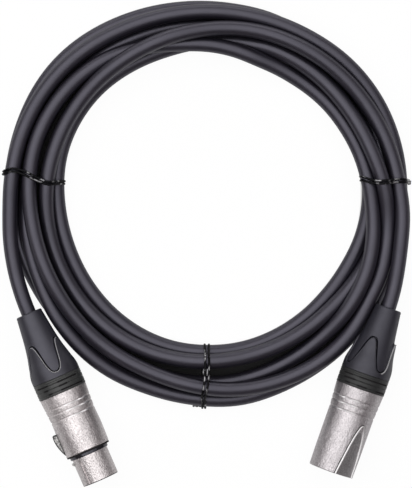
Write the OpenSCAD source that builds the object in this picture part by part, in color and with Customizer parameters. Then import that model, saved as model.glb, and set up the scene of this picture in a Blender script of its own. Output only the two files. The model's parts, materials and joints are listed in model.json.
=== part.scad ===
// Coiled microphone cable with a three-pole female and a three-pole male
// connector, tied at three places and lying flat. All sizes in millimetres.
// The origin is at the middle of the whole part, on the surface it lies on.

/* [Cable] */
// Outside diameter of the cable
cable_d = 6.4; // [5.5:0.1:6.4]
// Diameter of one insulated core inside the cable
core_d = 1.3; // [1:0.1:1.4]

/* [Coil] */
// Radius from the coil's centre to the middle of its innermost turn
coil_inner_turn_r = 65.2; // [60:0.2:70]
// Radial pitch of the turns that lie on the surface
coil_pitch = 6; // [5.6:0.1:6.2]
// Turns side by side in the lower layer
coil_lower_turns = 4; // [3:1:5]

/* [Ties] */
// Diameter of the plastic-covered tie wire
tie_d = 1.25; // [1:0.05:1.6]
// Distance between the two wraps of one tie
tie_wrap_pitch = 1.5; // [1.3:0.05:1.8]
// Radius of a wrap's rounded corners
tie_corner_r = 3.9; // [3.5:0.1:3.9]

/* [Boot and bushing] */
// Length of boot and bushing together, behind the shell
grip_len = 36.3; // [34:0.1:40]
// Diameter of the boot at its rear end
boot_rear_d = 11.2; // [10:0.1:12]
// Diameter of the boot where it meets the bushing's ring
boot_front_d = 20; // [19:0.1:20.4]
// Diameter of the bushing's ring, which is the widest place of the connector
ring_d = 21.2; // [20.8:0.1:22]
// Length of the bushing's ring
ring_len = 6.8; // [6:0.1:8]
// Distance from the boot's rear end to the crests of the hard lobes
lobe_crest = 13.8; // [12:0.1:16]
// Distance from the boot's rear end to the bottoms of the troughs between the lobes
lobe_trough = 26.8; // [25:0.1:27]
// Width of one lobe at the bottoms of the troughs
lobe_w = 11.8; // [9:0.1:12.4]
// Radius of a lobe's rounded crest
lobe_crest_r = 1.7; // [1.2:0.1:2.4]
// Height by which the lobes stand above the rubber
lobe_rise = 0.5; // [0.2:0.05:0.6]
// Length of the bushing's thread inside the shell
thread_len = 8; // [7:0.1:8.4]
// Outside diameter of the bushing's thread
thread_d = 17.1; // [16.8:0.1:17.4]

/* [Shells] */
// Depth of a groove around a shell
groove_depth = 0.45; // [0.2:0.05:0.6]
// Width of a groove around a shell
groove_w = 0.8; // [0.5:0.05:1]
// Diameter of the female shell behind its grooves
female_rear_d = 21.1; // [20.6:0.1:21.2]
// Diameter of the female shell at its fullest
female_bulge_d = 20.1; // [19.8:0.1:20.6]
// Diameter of the female shell at its front edge
female_front_d = 19.2; // [19:0.1:19.8]
// Length of the female shell's body
female_body_len = 26.5; // [25.5:0.1:27]
// Diameter of the nose that enters a male connector
nose_d = 15.8; // [15.7:0.05:15.9]
// Length of the nose in front of the seal
nose_len = 12.5; // [12:0.1:13]
// Wall thickness of the nose
nose_wall = 1; // [0.8:0.05:1.1]
// Diameter of the male shell at its rear end
male_rear_d = 21.2; // [20.8:0.1:21.2]
// Diameter of the male shell at its mouth
male_front_d = 19; // [18.8:0.1:19.6]
// Length of the male shell
male_body_len = 37.1; // [36:0.1:38]
// Inside diameter of the male shell
mouth_d = 16; // [15.96:0.01:16.1]
// Depth of the male shell's open mouth
mouth_depth = 15.5; // [15:0.1:16]

/* [Contacts] */
// Diameter of a male pin
pin_d = 2.38; // [2.3:0.01:2.42]
// Distance from the male shell's mouth back to the pin tips
pin_recess = 1.5; // [1.4:0.1:2]
// Diameter of the hole in a female contact
socket_d = 2.44; // [2.43:0.005:2.48]
// Sideways distance of contacts 1 and 2 from the axis
contact_side = 3.8; // [3.7:0.05:3.9]
// Distance of contacts 1 and 2 from the axis towards the key
contact_high = 0.9; // [0.8:0.05:1]
// Distance of contact 3 from the axis away from the key
contact_low = 3.9; // [3.8:0.05:4]

/* [Latch] */
// Length of the thumb pad
pad_len = 10; // [9:0.1:10.2]
// Width of the thumb pad
pad_w = 7; // [6:0.1:7.4]
// Height of the pad's rear end above the shell
pad_rise = 1.65; // [1:0.05:2]
// Height of the tooth above the nose
tooth_rise = 0.7; // [0.5:0.05:0.8]
// Width of the lever's arm
arm_w = 4; // [3:0.1:4.2]
// Thickness of the lever's arm
arm_t = 1.2; // [1:0.05:1.3]
// Diameter of the lever's pivot pin
pivot_d = 1.2; // [1:0.05:1.3]

/* [Hidden] */
$fn = 72;

// Clearances
seat_gap = 0.05;
press_gap = 0.02;
core_gap = 0.1;
free_gap = 0.3;
latch_gap = 0.4;
eps = 0.01;

// Places on the surface: the coil's centre, and each boot's rear end by its
// clock angle around the coil and how far it lies outside the outermost turn,
// with the turn of its axis away from the -Y direction
coil_at = [1, 18.7];
female_clock = 237.86;
female_out = 7.03;
female_turn = 23.5;
male_clock = 120.95;
male_out = 5.65;
male_turn = -19.5;
axis_z = ring_d / 2;
key_turn_female = 90;
key_turn_male = -39;
nose_keyway_turn = -55; // from the key to the groove along the nose
lobe_turn_female = 36;
lobe_turn_male = 15;

// Coil
cable_r = cable_d / 2;
coil_lift = tie_d + seat_gap;
lower_z = coil_lift + cable_r;
layer_step = sqrt(pow(cable_d, 2) - pow(coil_pitch / 2, 2));
upper_z = lower_z + layer_step;
coil_outer_turn_r = coil_inner_turn_r + (coil_lower_turns - 1) * coil_pitch;
female_at = beside_coil(female_clock, female_out);
male_at = beside_coil(male_clock, male_out);

// Ties
tie_r = tie_d / 2;
tie_in = coil_inner_turn_r - cable_r - seat_gap - tie_r;
tie_out = coil_outer_turn_r + cable_r + seat_gap + tie_r;
tie_low = tie_r;
tie_high = upper_z + cable_r + seat_gap + tie_r;
tie_clock = [277.4, 83.8, 181];

// Stations along a connector's axis, from the boot's rear end
ring_start = grip_len - ring_len;
boot_waist = [7.3, 13];
boot_shoulder = [8.8, 20.5];
boot_full = 26;
boot_edge = 0.6;
lobe_reach_in = 2;
lobe_reach = 12;
ring_edge = 0.3;
ring_line = 3.3;
core_tube_start = 10;
core_tube_step = 19;
core_tube_r = boot_rear_d / 2 - 0.3;
core_tube_big_r = core_tube_r + 1.6;
boot_hole_d = cable_d + 2 * seat_gap;
chuck_start = 24;
chuck_flange = grip_len + 0.7;
chuck_end = chuck_flange + 4;
chuck_r = 5;
chuck_flange_r = 7;
chuck_bore_r = chuck_r + seat_gap;
jacket_end = chuck_end - 2;
thread_end = grip_len + thread_len;
thread_bore_end = thread_end + 1;
spigot_bore_r = chuck_flange_r + 0.1;
insert_start = thread_bore_end + 0.8;
cup_start = insert_start - 3;
cup_depth = 4;
cup_r = 1.5;
cup_hole_r = 0.95;
core_spread = 0.36;
groove_line = [4.9, 7.3, 10.2];

// Female connector
female_front = grip_len + female_body_len;
female_step_s = 10.8;
female_waist_r = 9.85;
female_bulge_s = [16, 19];
seal_len = 1.5;
seal_lip_len = 0.5;
seal_lip_r = female_front_d / 2 - 0.1;
seal_r = seal_lip_r - 0.75;
nose_start = female_front + seal_len;
female_tip = nose_start + nose_len;
nose_r = nose_d / 2;
nose_bore_r = nose_r - nose_wall;
nose_step_r = nose_r - 0.3;
nose_step_end = nose_start + 4;
female_bore_r = 8.4;
female_insert_r = female_bore_r - seat_gap;
front_wall = 1.5;
insert_face = female_tip - 0.5;
socket_r = 1.7;
socket_end = insert_face - 0.4;
socket_depth = 14;
pin_entry_r = socket_d / 2 + 0.13;
pin_flare = 0.25;
face_turns = [[-38, 90], [90, 218], [218, 322]];

// Latch, in the plane of the key: heights are measured from the axis
pad_front = 0.9;
pad_end = female_front - pad_front;
pad_start = pad_end - pad_len;
arm_out = nose_bore_r - 0.65;
arm_in = arm_out - arm_t;
pivot_s = pad_start - 3.4;
pivot_h = arm_in + arm_t / 2;
eye_r = 1.25;
eye_gap = 0.05;
tooth_s = nose_start + 1.7;
tooth_len = 1.6;
pad_floor = female_insert_r + 0.55;
channel_floor = arm_in - 1.35;
channel_start = pivot_s - eye_r - 0.5;
channel_end = tooth_s + tooth_len + 0.8;
spring_s = pad_start + 5.1;
spring_seat = 1;
spring_wire = 0.36;
spring_coil_r = 1;
spring_pocket_r = spring_coil_r + spring_wire / 2 + 0.32;
spring_turns = 4;
pivot_pin_len = 6.6;

// Male connector
male_front = grip_len + male_body_len;
mouth_r = mouth_d / 2;
male_insert_r = mouth_r - seat_gap;
pin_base = male_front - mouth_depth;
pin_tip = male_front - pin_recess;
pin_tip_len = 0.8;
lead_in_len = pin_recess - 0.1;
lead_in_r = mouth_r + 0.4;
male_step_s = 11.4;
arch_depth = 0.5;
arch_tip = 22.7;
arch_sides = [[4.9, -1], [4.9, 2], [4.5, 5.5], [3.8, 12], [2.4, 18]];
catch_s = male_front - 4.2;
catch_len = 2.6;
catch_w = 5;
catch_depth = 0.45;

// Ground contacts
ground_s = insert_start + 1.9;
ground_len = 8;
ground_w = 3;
ground_t = 0.4;
ground_bump = 0.15;
ground_depth = 0.75;

// Each lead's way from its boot to the place where it has joined the coil:
// clock angle, distance outside the outermost turn, and drop below the
// connectors' axes
female_way = [
    [241.89, 6.14, 0.0], [245.96, 5.17, 0.2], [250.43, 4.25, 0.4],
    [255.06, 3.32, 0.6], [259.86, 2.54, 0.8], [264.79, 1.55, 1.2],
    [270.21, 0.2, 2.2]
];
male_way = [
    [116.8, 4.41, 0.0], [112.75, 2.9, 0.0], [108.37, 1.52, 0.0],
    [104.07, 0.31, 0.2], [99.85, -0.78, 0.8], [95.47, -2.43, 2.0]
];
lead_inside = 20;
female_route = lead_route(female_at, female_turn, female_way);
male_route = lead_route(male_at, male_turn, male_way);

// --- shared shapes ---------------------------------------------------------

function unit(v) = v / norm(v);

// The place at a clock angle around the coil, so far outside its outermost turn.
function beside_coil(clock, out) =
    coil_at + (coil_outer_turn_r + out) * [sin(clock), cos(clock)];

// The place on a connector's axis at a station.
function on_axis(at, turn, station) =
    [at.x + station * sin(turn), at.y - station * cos(turn), axis_z];

// A lead's points, from its end in the chuck and out of the boot to the coil.
function lead_route(at, turn, way) =
    concat(
        [for (station = [jacket_end, lead_inside, 0]) on_axis(at, turn, station)],
        [for (p = way) concat(beside_coil(p[0], p[1]), axis_z - p[2])]
    );

function tangent(path, i) =
    unit(path[min(i + 1, len(path) - 1)] - path[max(i - 1, 0)]);

// A tube around a path: one ring of corners at each of its points.
module sweep(path, r, sides, up = [0, 0, 1]) {
    rings = len(path);
    corners = [
        for (i = [0 : rings - 1])
            let (
                t = tangent(path, i),
                side = unit(cross(t, up)),
                top = cross(side, t)
            )
            for (k = [0 : sides - 1])
                path[i] + r * (cos(360 * k / sides) * side + sin(360 * k / sides) * top)
    ];
    walls = [
        for (i = [0 : rings - 2])
            for (k = [0 : sides - 1])
                let (n = (k + 1) % sides)
                [i * sides + k, i * sides + n, (i + 1) * sides + n, (i + 1) * sides + k]
    ];
    rear = [for (k = [sides - 1 : -1 : 0]) k];
    front = [for (k = [0 : sides - 1]) (rings - 1) * sides + k];
    polyhedron(corners, concat([rear], walls, [front]), convexity = 4);
}

// Places a connector: inside, the axis is +Z from the boot's rear end to the
// tip, +Y is up and +X is to the right of someone who looks down on it with
// the tip pointing towards them.
module place_female() {
    translate([female_at.x, female_at.y, axis_z])
        rotate([0, 0, female_turn])
            rotate([90, 0, 0])
                children();
}

module place_male() {
    translate([male_at.x, male_at.y, axis_z])
        rotate([0, 0, male_turn])
            rotate([90, 0, 0])
                children();
}

// Turns a connector's own shape so that its key, drawn at +Y, is where it lies.
module key_female() {
    place_female() rotate([0, 0, key_turn_female]) children();
}

module key_male() {
    place_male() rotate([0, 0, key_turn_male]) children();
}

module tube(start, end, r_out, r_in) {
    translate([0, 0, start])
        difference() {
            cylinder(r = r_out, h = end - start);
            translate([0, 0, -1]) cylinder(r = r_in, h = end - start + 2);
        }
}

module rod(start, end, r) {
    translate([0, 0, start]) cylinder(r = r, h = end - start);
}

// Place of contact n across the axis; hand is 1 seen into the male connector
// and -1 seen into the female one.
function contact_at(n, hand) =
    n == 1 ? [-hand * contact_side, contact_high]
    : n == 2 ? [hand * contact_side, contact_high]
    : [0, -contact_low];

// --- coil, leads and ties --------------------------------------------------

module coil_section() {
    for (i = [0 : coil_lower_turns - 1])
        translate([coil_inner_turn_r + i * coil_pitch, lower_z]) circle(r = cable_r);
    for (i = [0 : coil_lower_turns - 2])
        translate([coil_inner_turn_r + (i + 0.5) * coil_pitch, upper_z])
            circle(r = cable_r);
    translate([coil_inner_turn_r, lower_z])
        square([(coil_lower_turns - 1) * coil_pitch, cable_r * 0.5]);
    translate([coil_inner_turn_r + coil_pitch / 2, lower_z])
        square([(coil_lower_turns - 2) * coil_pitch, layer_step]);
}

// Room that the coil leaves beside a boot that rests against it.
module boot_room() {
    translate([0, 0, -2]) cylinder(r = boot_rear_d / 2 + free_gap, h = 2 + eps);
    cylinder(
        r1 = boot_rear_d / 2 + free_gap,
        r2 = boot_front_d / 2 + lobe_rise + free_gap,
        h = lobe_trough
    );
}

module cable_coil() {
    color([0.08, 0.08, 0.09])
        difference() {
            translate([coil_at.x, coil_at.y, 0])
                rotate_extrude($fn = 180) coil_section();
            place_female() boot_room();
            place_male() boot_room();
        }
}

module female_lead() {
    color([0.08, 0.08, 0.09]) sweep(female_route, cable_r - eps, 12);
}

module male_lead() {
    color([0.08, 0.08, 0.09]) sweep(male_route, cable_r - eps, 12);
}

// One quarter turn of a wrap, in the plane of the coil's section.
module tie_corner(at, start) {
    translate([at.x, 0, at.y])
        rotate([90, 0, 0])
            rotate([0, 0, start])
                rotate_extrude(angle = 90, $fn = 36)
                    translate([tie_corner_r, 0]) circle(r = tie_r, $fn = 24);
}

module tie_wrap() {
    x0 = tie_in + tie_corner_r;
    x1 = tie_out - tie_corner_r;
    z0 = tie_low + tie_corner_r;
    z1 = tie_high - tie_corner_r;
    tie_corner([x1, z1], 0);
    tie_corner([x0, z1], 90);
    tie_corner([x0, z0], 180);
    tie_corner([x1, z0], 270);
    for (z = [tie_low, tie_high])
        translate([x0, 0, z]) rotate([0, 90, 0]) cylinder(r = tie_r, h = x1 - x0, $fn = 24);
    for (x = [tie_in, tie_out])
        translate([x, 0, z0]) cylinder(r = tie_r, h = z1 - z0, $fn = 24);
}

// Two wraps around the coil, joined by their twisted ends at the outer side.
module tie(clock) {
    color([0.05, 0.05, 0.06])
        translate([coil_at.x, coil_at.y, 0])
            rotate([0, 0, 90 - clock]) {
                for (side = [-1, 1])
                    translate([0, side * tie_wrap_pitch / 2, 0]) tie_wrap();
                translate([tie_out, 0, upper_z])
                    rotate([90, 0, 0])
                        cylinder(r = tie_r, h = tie_wrap_pitch, center = true, $fn = 24);
            }
}

module tie_left() { tie(tie_clock[0]); }
module tie_right() { tie(tie_clock[1]); }
module tie_bottom() { tie(tie_clock[2]); }

// --- boot, bushing and chuck, the same on both connectors --------------------

// Outer shape of the rubber boot, grown outwards by rise.
module boot_form(rise) {
    rotate_extrude()
        polygon([
            [0, 0],
            [boot_rear_d / 2 - boot_edge + rise, 0],
            [boot_rear_d / 2 + rise, boot_edge],
            [boot_waist.x + rise, boot_waist.y],
            [boot_shoulder.x + rise, boot_shoulder.y],
            [boot_front_d / 2 + rise, boot_full],
            [boot_front_d / 2 + rise, ring_start],
            [0, ring_start]
        ]);
}

// The four lobes of hard plastic, as an area around the axis: each has a
// rounded crest and straight flanks that touch it.
module lobe_area() {
    height = lobe_trough - lobe_crest - lobe_crest_r;
    reach = norm([lobe_w / 2, height]);
    lean = atan2(height, lobe_w / 2) - acos(lobe_crest_r / reach);
    touch = [
        lobe_crest_r * cos(lean),
        lobe_crest + lobe_crest_r + lobe_crest_r * sin(lean)
    ];
    for (turn = [0 : 90 : 270])
        rotate([0, 0, turn])
            rotate([90, 0, 0])
                translate([0, 0, lobe_reach_in])
                    linear_extrude(lobe_reach) {
                        translate([0, lobe_crest + lobe_crest_r])
                            circle(r = lobe_crest_r);
                        polygon([
                            [-touch.x, touch.y],
                            touch,
                            [lobe_w / 2, lobe_trough],
                            [lobe_w / 2, ring_start + 1],
                            [-lobe_w / 2, ring_start + 1],
                            [-lobe_w / 2, lobe_trough]
                        ]);
                    }
    rod(lobe_trough, ring_start + 1, ring_d);
}

module core_tube(grow) {
    rod(core_tube_start - grow, core_tube_step, core_tube_r + grow);
    rod(core_tube_step - grow, ring_start + 1, core_tube_big_r + grow);
}

module boot() {
    color([0.1, 0.1, 0.11])
        difference() {
            boot_form(0);
            lobe_area();
            core_tube(0);
            rod(-1, core_tube_start + 1, boot_hole_d / 2);
        }
}

module bushing() {
    color([0.13, 0.14, 0.13])
        difference() {
            union() {
                intersection() {
                    boot_form(lobe_rise);
                    lobe_area();
                }
                core_tube(0);
                rotate_extrude()
                    polygon([
                        [0, ring_start],
                        [ring_d / 2 - ring_edge, ring_start],
                        [ring_d / 2, ring_start + ring_edge],
                        [ring_d / 2, ring_start + ring_line - 0.2],
                        [ring_d / 2 - 0.3, ring_start + ring_line],
                        [ring_d / 2, ring_start + ring_line + 0.2],
                        [ring_d / 2, grip_len],
                        [0, grip_len]
                    ]);
                rod(grip_len - 1, thread_end, thread_d / 2);
            }
            rod(0, core_tube_start + 1.5, boot_hole_d / 2);
            rod(core_tube_start + 1.5, grip_len + 1, chuck_bore_r);
            rod(grip_len + 0.2, thread_end + 1, spigot_bore_r);
        }
}

// A collar that grips the cable's jacket: split fingers and a flange in front.
module chuck() {
    slot_w = 1.2;
    color([0.8, 0.8, 0.78])
        difference() {
            union() {
                rod(chuck_start, chuck_flange + 1, chuck_r);
                rod(chuck_flange, chuck_end, chuck_flange_r);
            }
            rod(chuck_start - 1, chuck_end + 1, cable_r);
            // flare that lets the cores spread
            translate([0, 0, jacket_end])
                cylinder(r1 = cable_r, r2 = chuck_flange_r - 1.4, h = chuck_end - jacket_end + eps);
            for (turn = [0, 90])
                rotate([0, 0, turn])
                    translate([-chuck_r - 1, -slot_w / 2, chuck_start - 1])
                        cube([2 * chuck_r + 2, slot_w, chuck_flange - chuck_start]);
        }
}

// An insulated core from the jacket's end into contact n's solder cup.
module core_wire(n, hand, tint) {
    at = contact_at(n, hand);
    near = core_spread * at;
    low = jacket_end + core_gap;
    high = cup_start + cup_depth - 1;
    route = [
        [near.x, near.y, low],
        [near.x, near.y, low + core_d / 2],
        [at.x, at.y, cup_start - core_d / 2],
        [at.x, at.y, cup_start],
        [at.x, at.y, high]
    ];
    color(tint) sweep(route, core_d / 2, 10, [0, 1, 0]);
}

// Leaf that earths the shell, on the side away from the key of an insert of
// radius r.
module ground_leaf(r) {
    top = r - ground_depth + ground_t;
    color([0.8, 0.72, 0.45]) {
        translate([-ground_w / 2, -top, ground_s])
            cube([ground_w, ground_t, ground_len]);
        translate([-ground_w / 2, -top - ground_bump, ground_s + ground_len / 2 - 1])
            cube([ground_w, ground_bump + eps, 2]);
    }
}

module ground_slot(r) {
    translate([-ground_w / 2 - seat_gap, -r - 1, ground_s - seat_gap])
        cube([
            ground_w + 2 * seat_gap,
            1 + ground_depth + seat_gap,
            ground_len + 2 * seat_gap
        ]);
}

// Grooves around a shell, counted from its rear end.
module shell_grooves(r) {
    for (at = groove_line)
        tube(grip_len + at, grip_len + at + groove_w, r + 2, r - groove_depth);
}

// --- female connector --------------------------------------------------------

module female_outline() {
    rotate_extrude()
        polygon([
            [0, grip_len],
            [female_rear_d / 2 - 0.3, grip_len],
            [female_rear_d / 2, grip_len + 0.3],
            [female_rear_d / 2, grip_len + female_step_s],
            [female_waist_r, grip_len + female_step_s + 0.5],
            [female_bulge_d / 2, grip_len + female_bulge_s[0]],
            [female_bulge_d / 2, grip_len + female_bulge_s[1]],
            [female_front_d / 2, female_front - 0.5],
            [female_front_d / 2 - 0.5, female_front],
            [nose_step_r, female_front],
            [nose_step_r, nose_step_end],
            [nose_r, nose_step_end + 0.2],
            [nose_r, female_tip - 0.5],
            [nose_r - 0.4, female_tip],
            [0, female_tip]
        ]);
}

module female_shell() {
    shell_step = female_front - front_wall;
    color([0.74, 0.73, 0.7])
        key_female()
            difference() {
                female_outline();
                shell_grooves(female_rear_d / 2);
                rod(grip_len - 1, thread_bore_end, thread_d / 2 + seat_gap);
                rod(thread_bore_end - 1, shell_step, female_bore_r);
                rod(shell_step - 1, female_tip + 1, nose_bore_r);
                // window for the thumb pad
                translate([-pad_w / 2 - latch_gap, pad_floor - 2, pad_start - latch_gap])
                    cube([pad_w + 2 * latch_gap, female_insert_r, pad_len + 2 * latch_gap]);
                // room for the pad's inner side under the window's edges
                translate([-pad_w / 2 - latch_gap, female_insert_r - 1, pad_start - latch_gap])
                    cube([pad_w + 2 * latch_gap, 2, pad_len + latch_gap - 0.6]);
                // slot for the tooth
                translate([-arm_w / 2 - latch_gap, nose_bore_r - 2, tooth_s - latch_gap])
                    cube([arm_w + 2 * latch_gap, 4, tooth_len + 2 * latch_gap]);
                // keyway along the nose
                rotate([0, 0, nose_keyway_turn])
                    translate([-0.4, nose_r - 0.35, nose_step_end + 1])
                        cube([0.8, 1, nose_len]);
            }
}

module socket_holes() {
    for (n = [1 : 3])
        translate(concat(contact_at(n, -1), 0)) {
            rod(insert_start - 1, socket_end + seat_gap, socket_r + press_gap);
            // the pin's way in, flared towards the face; its narrow end keeps the contact in
            translate([0, 0, socket_end])
                cylinder(
                    r1 = pin_entry_r,
                    r2 = pin_entry_r + 2 * pin_flare,
                    h = 2 * (insert_face - socket_end)
                );
        }
}

module latch_channel() {
    translate([-arm_w / 2 - free_gap, channel_floor, channel_start])
        cube([arm_w + 2 * free_gap, female_insert_r, channel_end - channel_start]);
}

// The insert's wide rear part, which carries the contacts and the latch.
module female_insert() {
    color([0.09, 0.09, 0.1])
        key_female()
            difference() {
                rod(insert_start, female_front - front_wall - seat_gap, female_insert_r);
                socket_holes();
                latch_channel();
                // pocket of the latch spring
                translate([0, spring_seat, spring_s])
                    rotate([-90, 0, 0]) cylinder(r = spring_pocket_r, h = female_insert_r, $fn = 36);
                translate([0, pivot_h, pivot_s])
                    rotate([0, 90, 0])
                        cylinder(r = pivot_d / 2, h = pivot_pin_len, center = true, $fn = 36);
                ground_slot(female_insert_r);
            }
}

// One of the three carriers that fill the nose, each around one contact.
module female_face(n) {
    reach = 2 * nose_bore_r;
    sides = [for (turn = face_turns[n - 1]) reach * [cos(turn), sin(turn)]];
    middle = unit(sides[0] + sides[1]);
    color([0.09, 0.09, 0.1])
        key_female()
            difference() {
                intersection() {
                    rod(female_front - front_wall, insert_face, nose_bore_r - seat_gap);
                    translate(concat(middle * seat_gap, female_front - front_wall - 1))
                        linear_extrude(nose_len + front_wall + seal_len + 2)
                            polygon([[0, 0], sides[0], reach * middle * 2, sides[1]]);
                }
                socket_holes();
                latch_channel();
            }
}

module female_face_1() { female_face(1); }
module female_face_2() { female_face(2); }
module female_face_3() { female_face(3); }

module female_contact(n) {
    color([0.83, 0.68, 0.3])
        key_female()
            translate(concat(contact_at(n, -1), 0))
                difference() {
                    union() {
                        rod(cup_start, insert_start + 1, cup_r);
                        rod(insert_start + 0.5, socket_end, socket_r);
                    }
                    rod(cup_start - 1, cup_start + cup_depth, cup_hole_r);
                    rod(socket_end - socket_depth, socket_end + 1, socket_d / 2);
                }
}

module female_contact_1() { female_contact(1); }
module female_contact_2() { female_contact(2); }
module female_contact_3() { female_contact(3); }
module female_ground_contact() { key_female() ground_leaf(female_insert_r); }
module female_chuck() { place_female() chuck(); }
module female_bushing() { place_female() rotate([0, 0, lobe_turn_female]) bushing(); }
module female_boot() { place_female() rotate([0, 0, lobe_turn_female]) boot(); }
module female_core_1() { key_female() core_wire(1, -1, [0.75, 0.75, 0.74]); }
module female_core_2() { key_female() core_wire(2, -1, [0.7, 0.1, 0.08]); }
module female_core_3() { key_female() core_wire(3, -1, [0.15, 0.15, 0.5]); }

module seal_ring() {
    color([0.06, 0.06, 0.07])
        place_female()
            difference() {
                union() {
                    rod(female_front + seat_gap, female_front + seal_lip_len, seal_lip_r);
                    rod(female_front + seat_gap, nose_start, seal_r);
                }
                rod(female_front - 1, nose_start + 1, nose_step_r + press_gap);
            }
}

module latch_lever() {
    color([0.22, 0.22, 0.23])
        key_female()
            difference() {
                union() {
                    // pad, level with the shell in front and proud behind
                    intersection() {
                        rotate_extrude()
                            polygon([
                                [0, pad_start],
                                [female_bulge_d / 2 + pad_rise - 0.3, pad_start],
                                [female_bulge_d / 2 + pad_rise, pad_start + 0.4],
                                [female_front_d / 2 + 0.1, pad_end],
                                [0, pad_end]
                            ]);
                        translate([-pad_w / 2, pad_floor, pad_start])
                            cube([pad_w, female_insert_r, pad_len]);
                    }
                    // neck between arm and pad
                    translate([-arm_w / 2, arm_in, pad_start + 1])
                        cube([arm_w, pad_floor - arm_in + 0.5, pad_len - 2.2]);
                    // arm from the pivot to the tooth
                    translate([-arm_w / 2, arm_in, pivot_s])
                        cube([arm_w, arm_t, tooth_s + tooth_len - pivot_s]);
                    // tooth with a sloping front
                    translate([arm_w / 2, 0, 0])
                        rotate([0, -90, 0])
                            linear_extrude(arm_w)
                                polygon([
                                    [tooth_s, arm_in + arm_t / 2],
                                    [tooth_s, nose_r + tooth_rise],
                                    [tooth_s + tooth_len * 0.4, nose_r + tooth_rise],
                                    [tooth_s + tooth_len, nose_r - 0.2],
                                    [tooth_s + tooth_len, arm_in + arm_t / 2]
                                ]);
                    translate([0, pivot_h, pivot_s])
                        rotate([0, 90, 0]) cylinder(r = eye_r, h = arm_w, center = true, $fn = 36);
                }
                translate([0, pivot_h, pivot_s])
                    rotate([0, 90, 0])
                        cylinder(r = pivot_d / 2 + eye_gap, h = arm_w + 2, center = true, $fn = 36);
            }
}

module latch_pin() {
    color([0.6, 0.6, 0.6])
        key_female()
            translate([0, pivot_h, pivot_s])
                rotate([0, 90, 0])
                    cylinder(r = pivot_d / 2, h = pivot_pin_len, center = true, $fn = 36);
}

module latch_spring() {
    steps = 12;
    low = spring_seat + spring_wire / 2 + press_gap;
    high = arm_in - spring_wire / 2 - press_gap;
    helix = [
        for (i = [0 : spring_turns * steps])
            let (turn = 360 * i / steps, share = i / (spring_turns * steps))
            [
                spring_coil_r * cos(turn),
                low + (high - low) * share,
                spring_s + spring_coil_r * sin(turn)
            ]
    ];
    color([0.65, 0.65, 0.66])
        key_female() sweep(helix, spring_wire / 2, 6, [0, 1, 0]);
}

// --- male connector ----------------------------------------------------------

module male_outline(shrink) {
    rotate_extrude()
        polygon([
            [0, grip_len],
            [male_rear_d / 2 - 0.3 - shrink, grip_len],
            [male_rear_d / 2 - shrink, grip_len + 0.3],
            [male_rear_d / 2 - shrink, grip_len + male_step_s],
            [male_front_d / 2 - shrink, male_front - 0.5],
            [male_front_d / 2 - 0.5 - shrink, male_front],
            [0, male_front]
        ]);
}

// The pointed arch that is sunk into the shell above the key: each side's
// half-widths stand with their distances from the mouth.
module arch_area() {
    translate([0, 0, male_front])
        rotate([90, 0, 0])
            mirror([0, 0, 1])
                linear_extrude(male_rear_d)
                    polygon(concat(
                        [for (p = arch_sides) [p[0], -p[1]]],
                        [[0, -arch_tip]],
                        [for (i = [len(arch_sides) - 1 : -1 : 0])
                            [-arch_sides[i][0], -arch_sides[i][1]]]
                    ));
}

module male_shell() {
    color([0.74, 0.73, 0.7])
        key_male()
            difference() {
                male_outline(0);
                shell_grooves(male_rear_d / 2);
                difference() {
                    arch_area();
                    male_outline(arch_depth);
                }
                rod(grip_len - 1, thread_bore_end, thread_d / 2 + seat_gap);
                rod(thread_bore_end - 1, male_front, mouth_r);
                rod(male_front - lead_in_len, male_front + 1, lead_in_r);
                // catch for the other connector's tooth
                translate([-catch_w / 2, mouth_r - 1, catch_s])
                    cube([catch_w, 1 + catch_depth, catch_len]);
            }
}

module male_insert() {
    color([0.09, 0.09, 0.1])
        key_male()
            difference() {
                rod(insert_start, pin_base, male_insert_r);
                for (n = [1 : 3])
                    translate(concat(contact_at(n, 1), 0))
                        rod(insert_start - 1, pin_base + 1, cup_r + press_gap);
                ground_slot(male_insert_r);
            }
}

module male_pin(n) {
    color([0.83, 0.68, 0.3])
        key_male()
            translate(concat(contact_at(n, 1), 0))
                difference() {
                    union() {
                        rod(cup_start, pin_base, cup_r);
                        rod(pin_base - 1, pin_tip - pin_tip_len, pin_d / 2);
                        translate([0, 0, pin_tip - pin_tip_len])
                            cylinder(r1 = pin_d / 2, r2 = pin_d / 4, h = pin_tip_len);
                    }
                    rod(cup_start - 1, cup_start + cup_depth, cup_hole_r);
                }
}

module male_pin_1() { male_pin(1); }
module male_pin_2() { male_pin(2); }
module male_pin_3() { male_pin(3); }
module male_ground_contact() { key_male() ground_leaf(male_insert_r); }
module male_chuck() { place_male() chuck(); }
module male_bushing() { place_male() rotate([0, 0, lobe_turn_male]) bushing(); }
module male_boot() { place_male() rotate([0, 0, lobe_turn_male]) boot(); }
module male_core_1() { key_male() core_wire(1, 1, [0.75, 0.75, 0.74]); }
module male_core_2() { key_male() core_wire(2, 1, [0.7, 0.1, 0.08]); }
module male_core_3() { key_male() core_wire(3, 1, [0.15, 0.15, 0.5]); }

cable_coil();
female_lead();
male_lead();
tie_left();
tie_right();
tie_bottom();
female_shell();
female_insert();
female_face_1();
female_face_2();
female_face_3();
female_contact_1();
female_contact_2();
female_contact_3();
female_ground_contact();
female_chuck();
female_bushing();
female_boot();
female_core_1();
female_core_2();
female_core_3();
seal_ring();
latch_lever();
latch_pin();
latch_spring();
male_shell();
male_insert();
male_pin_1();
male_pin_2();
male_pin_3();
male_ground_contact();
male_chuck();
male_bushing();
male_boot();
male_core_1();
male_core_2();
male_core_3();
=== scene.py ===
"""Looks of a coiled microphone cable: its jacket, ties, connectors, floor and light.

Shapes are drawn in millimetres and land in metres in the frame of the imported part.
A connector is drawn along its own axis: s runs from the boot's rear end to the tip,
and an angle around the axis is counted from the top towards +X of someone who looks
down with the tip towards them.
"""

import itertools
import json
import math

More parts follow.
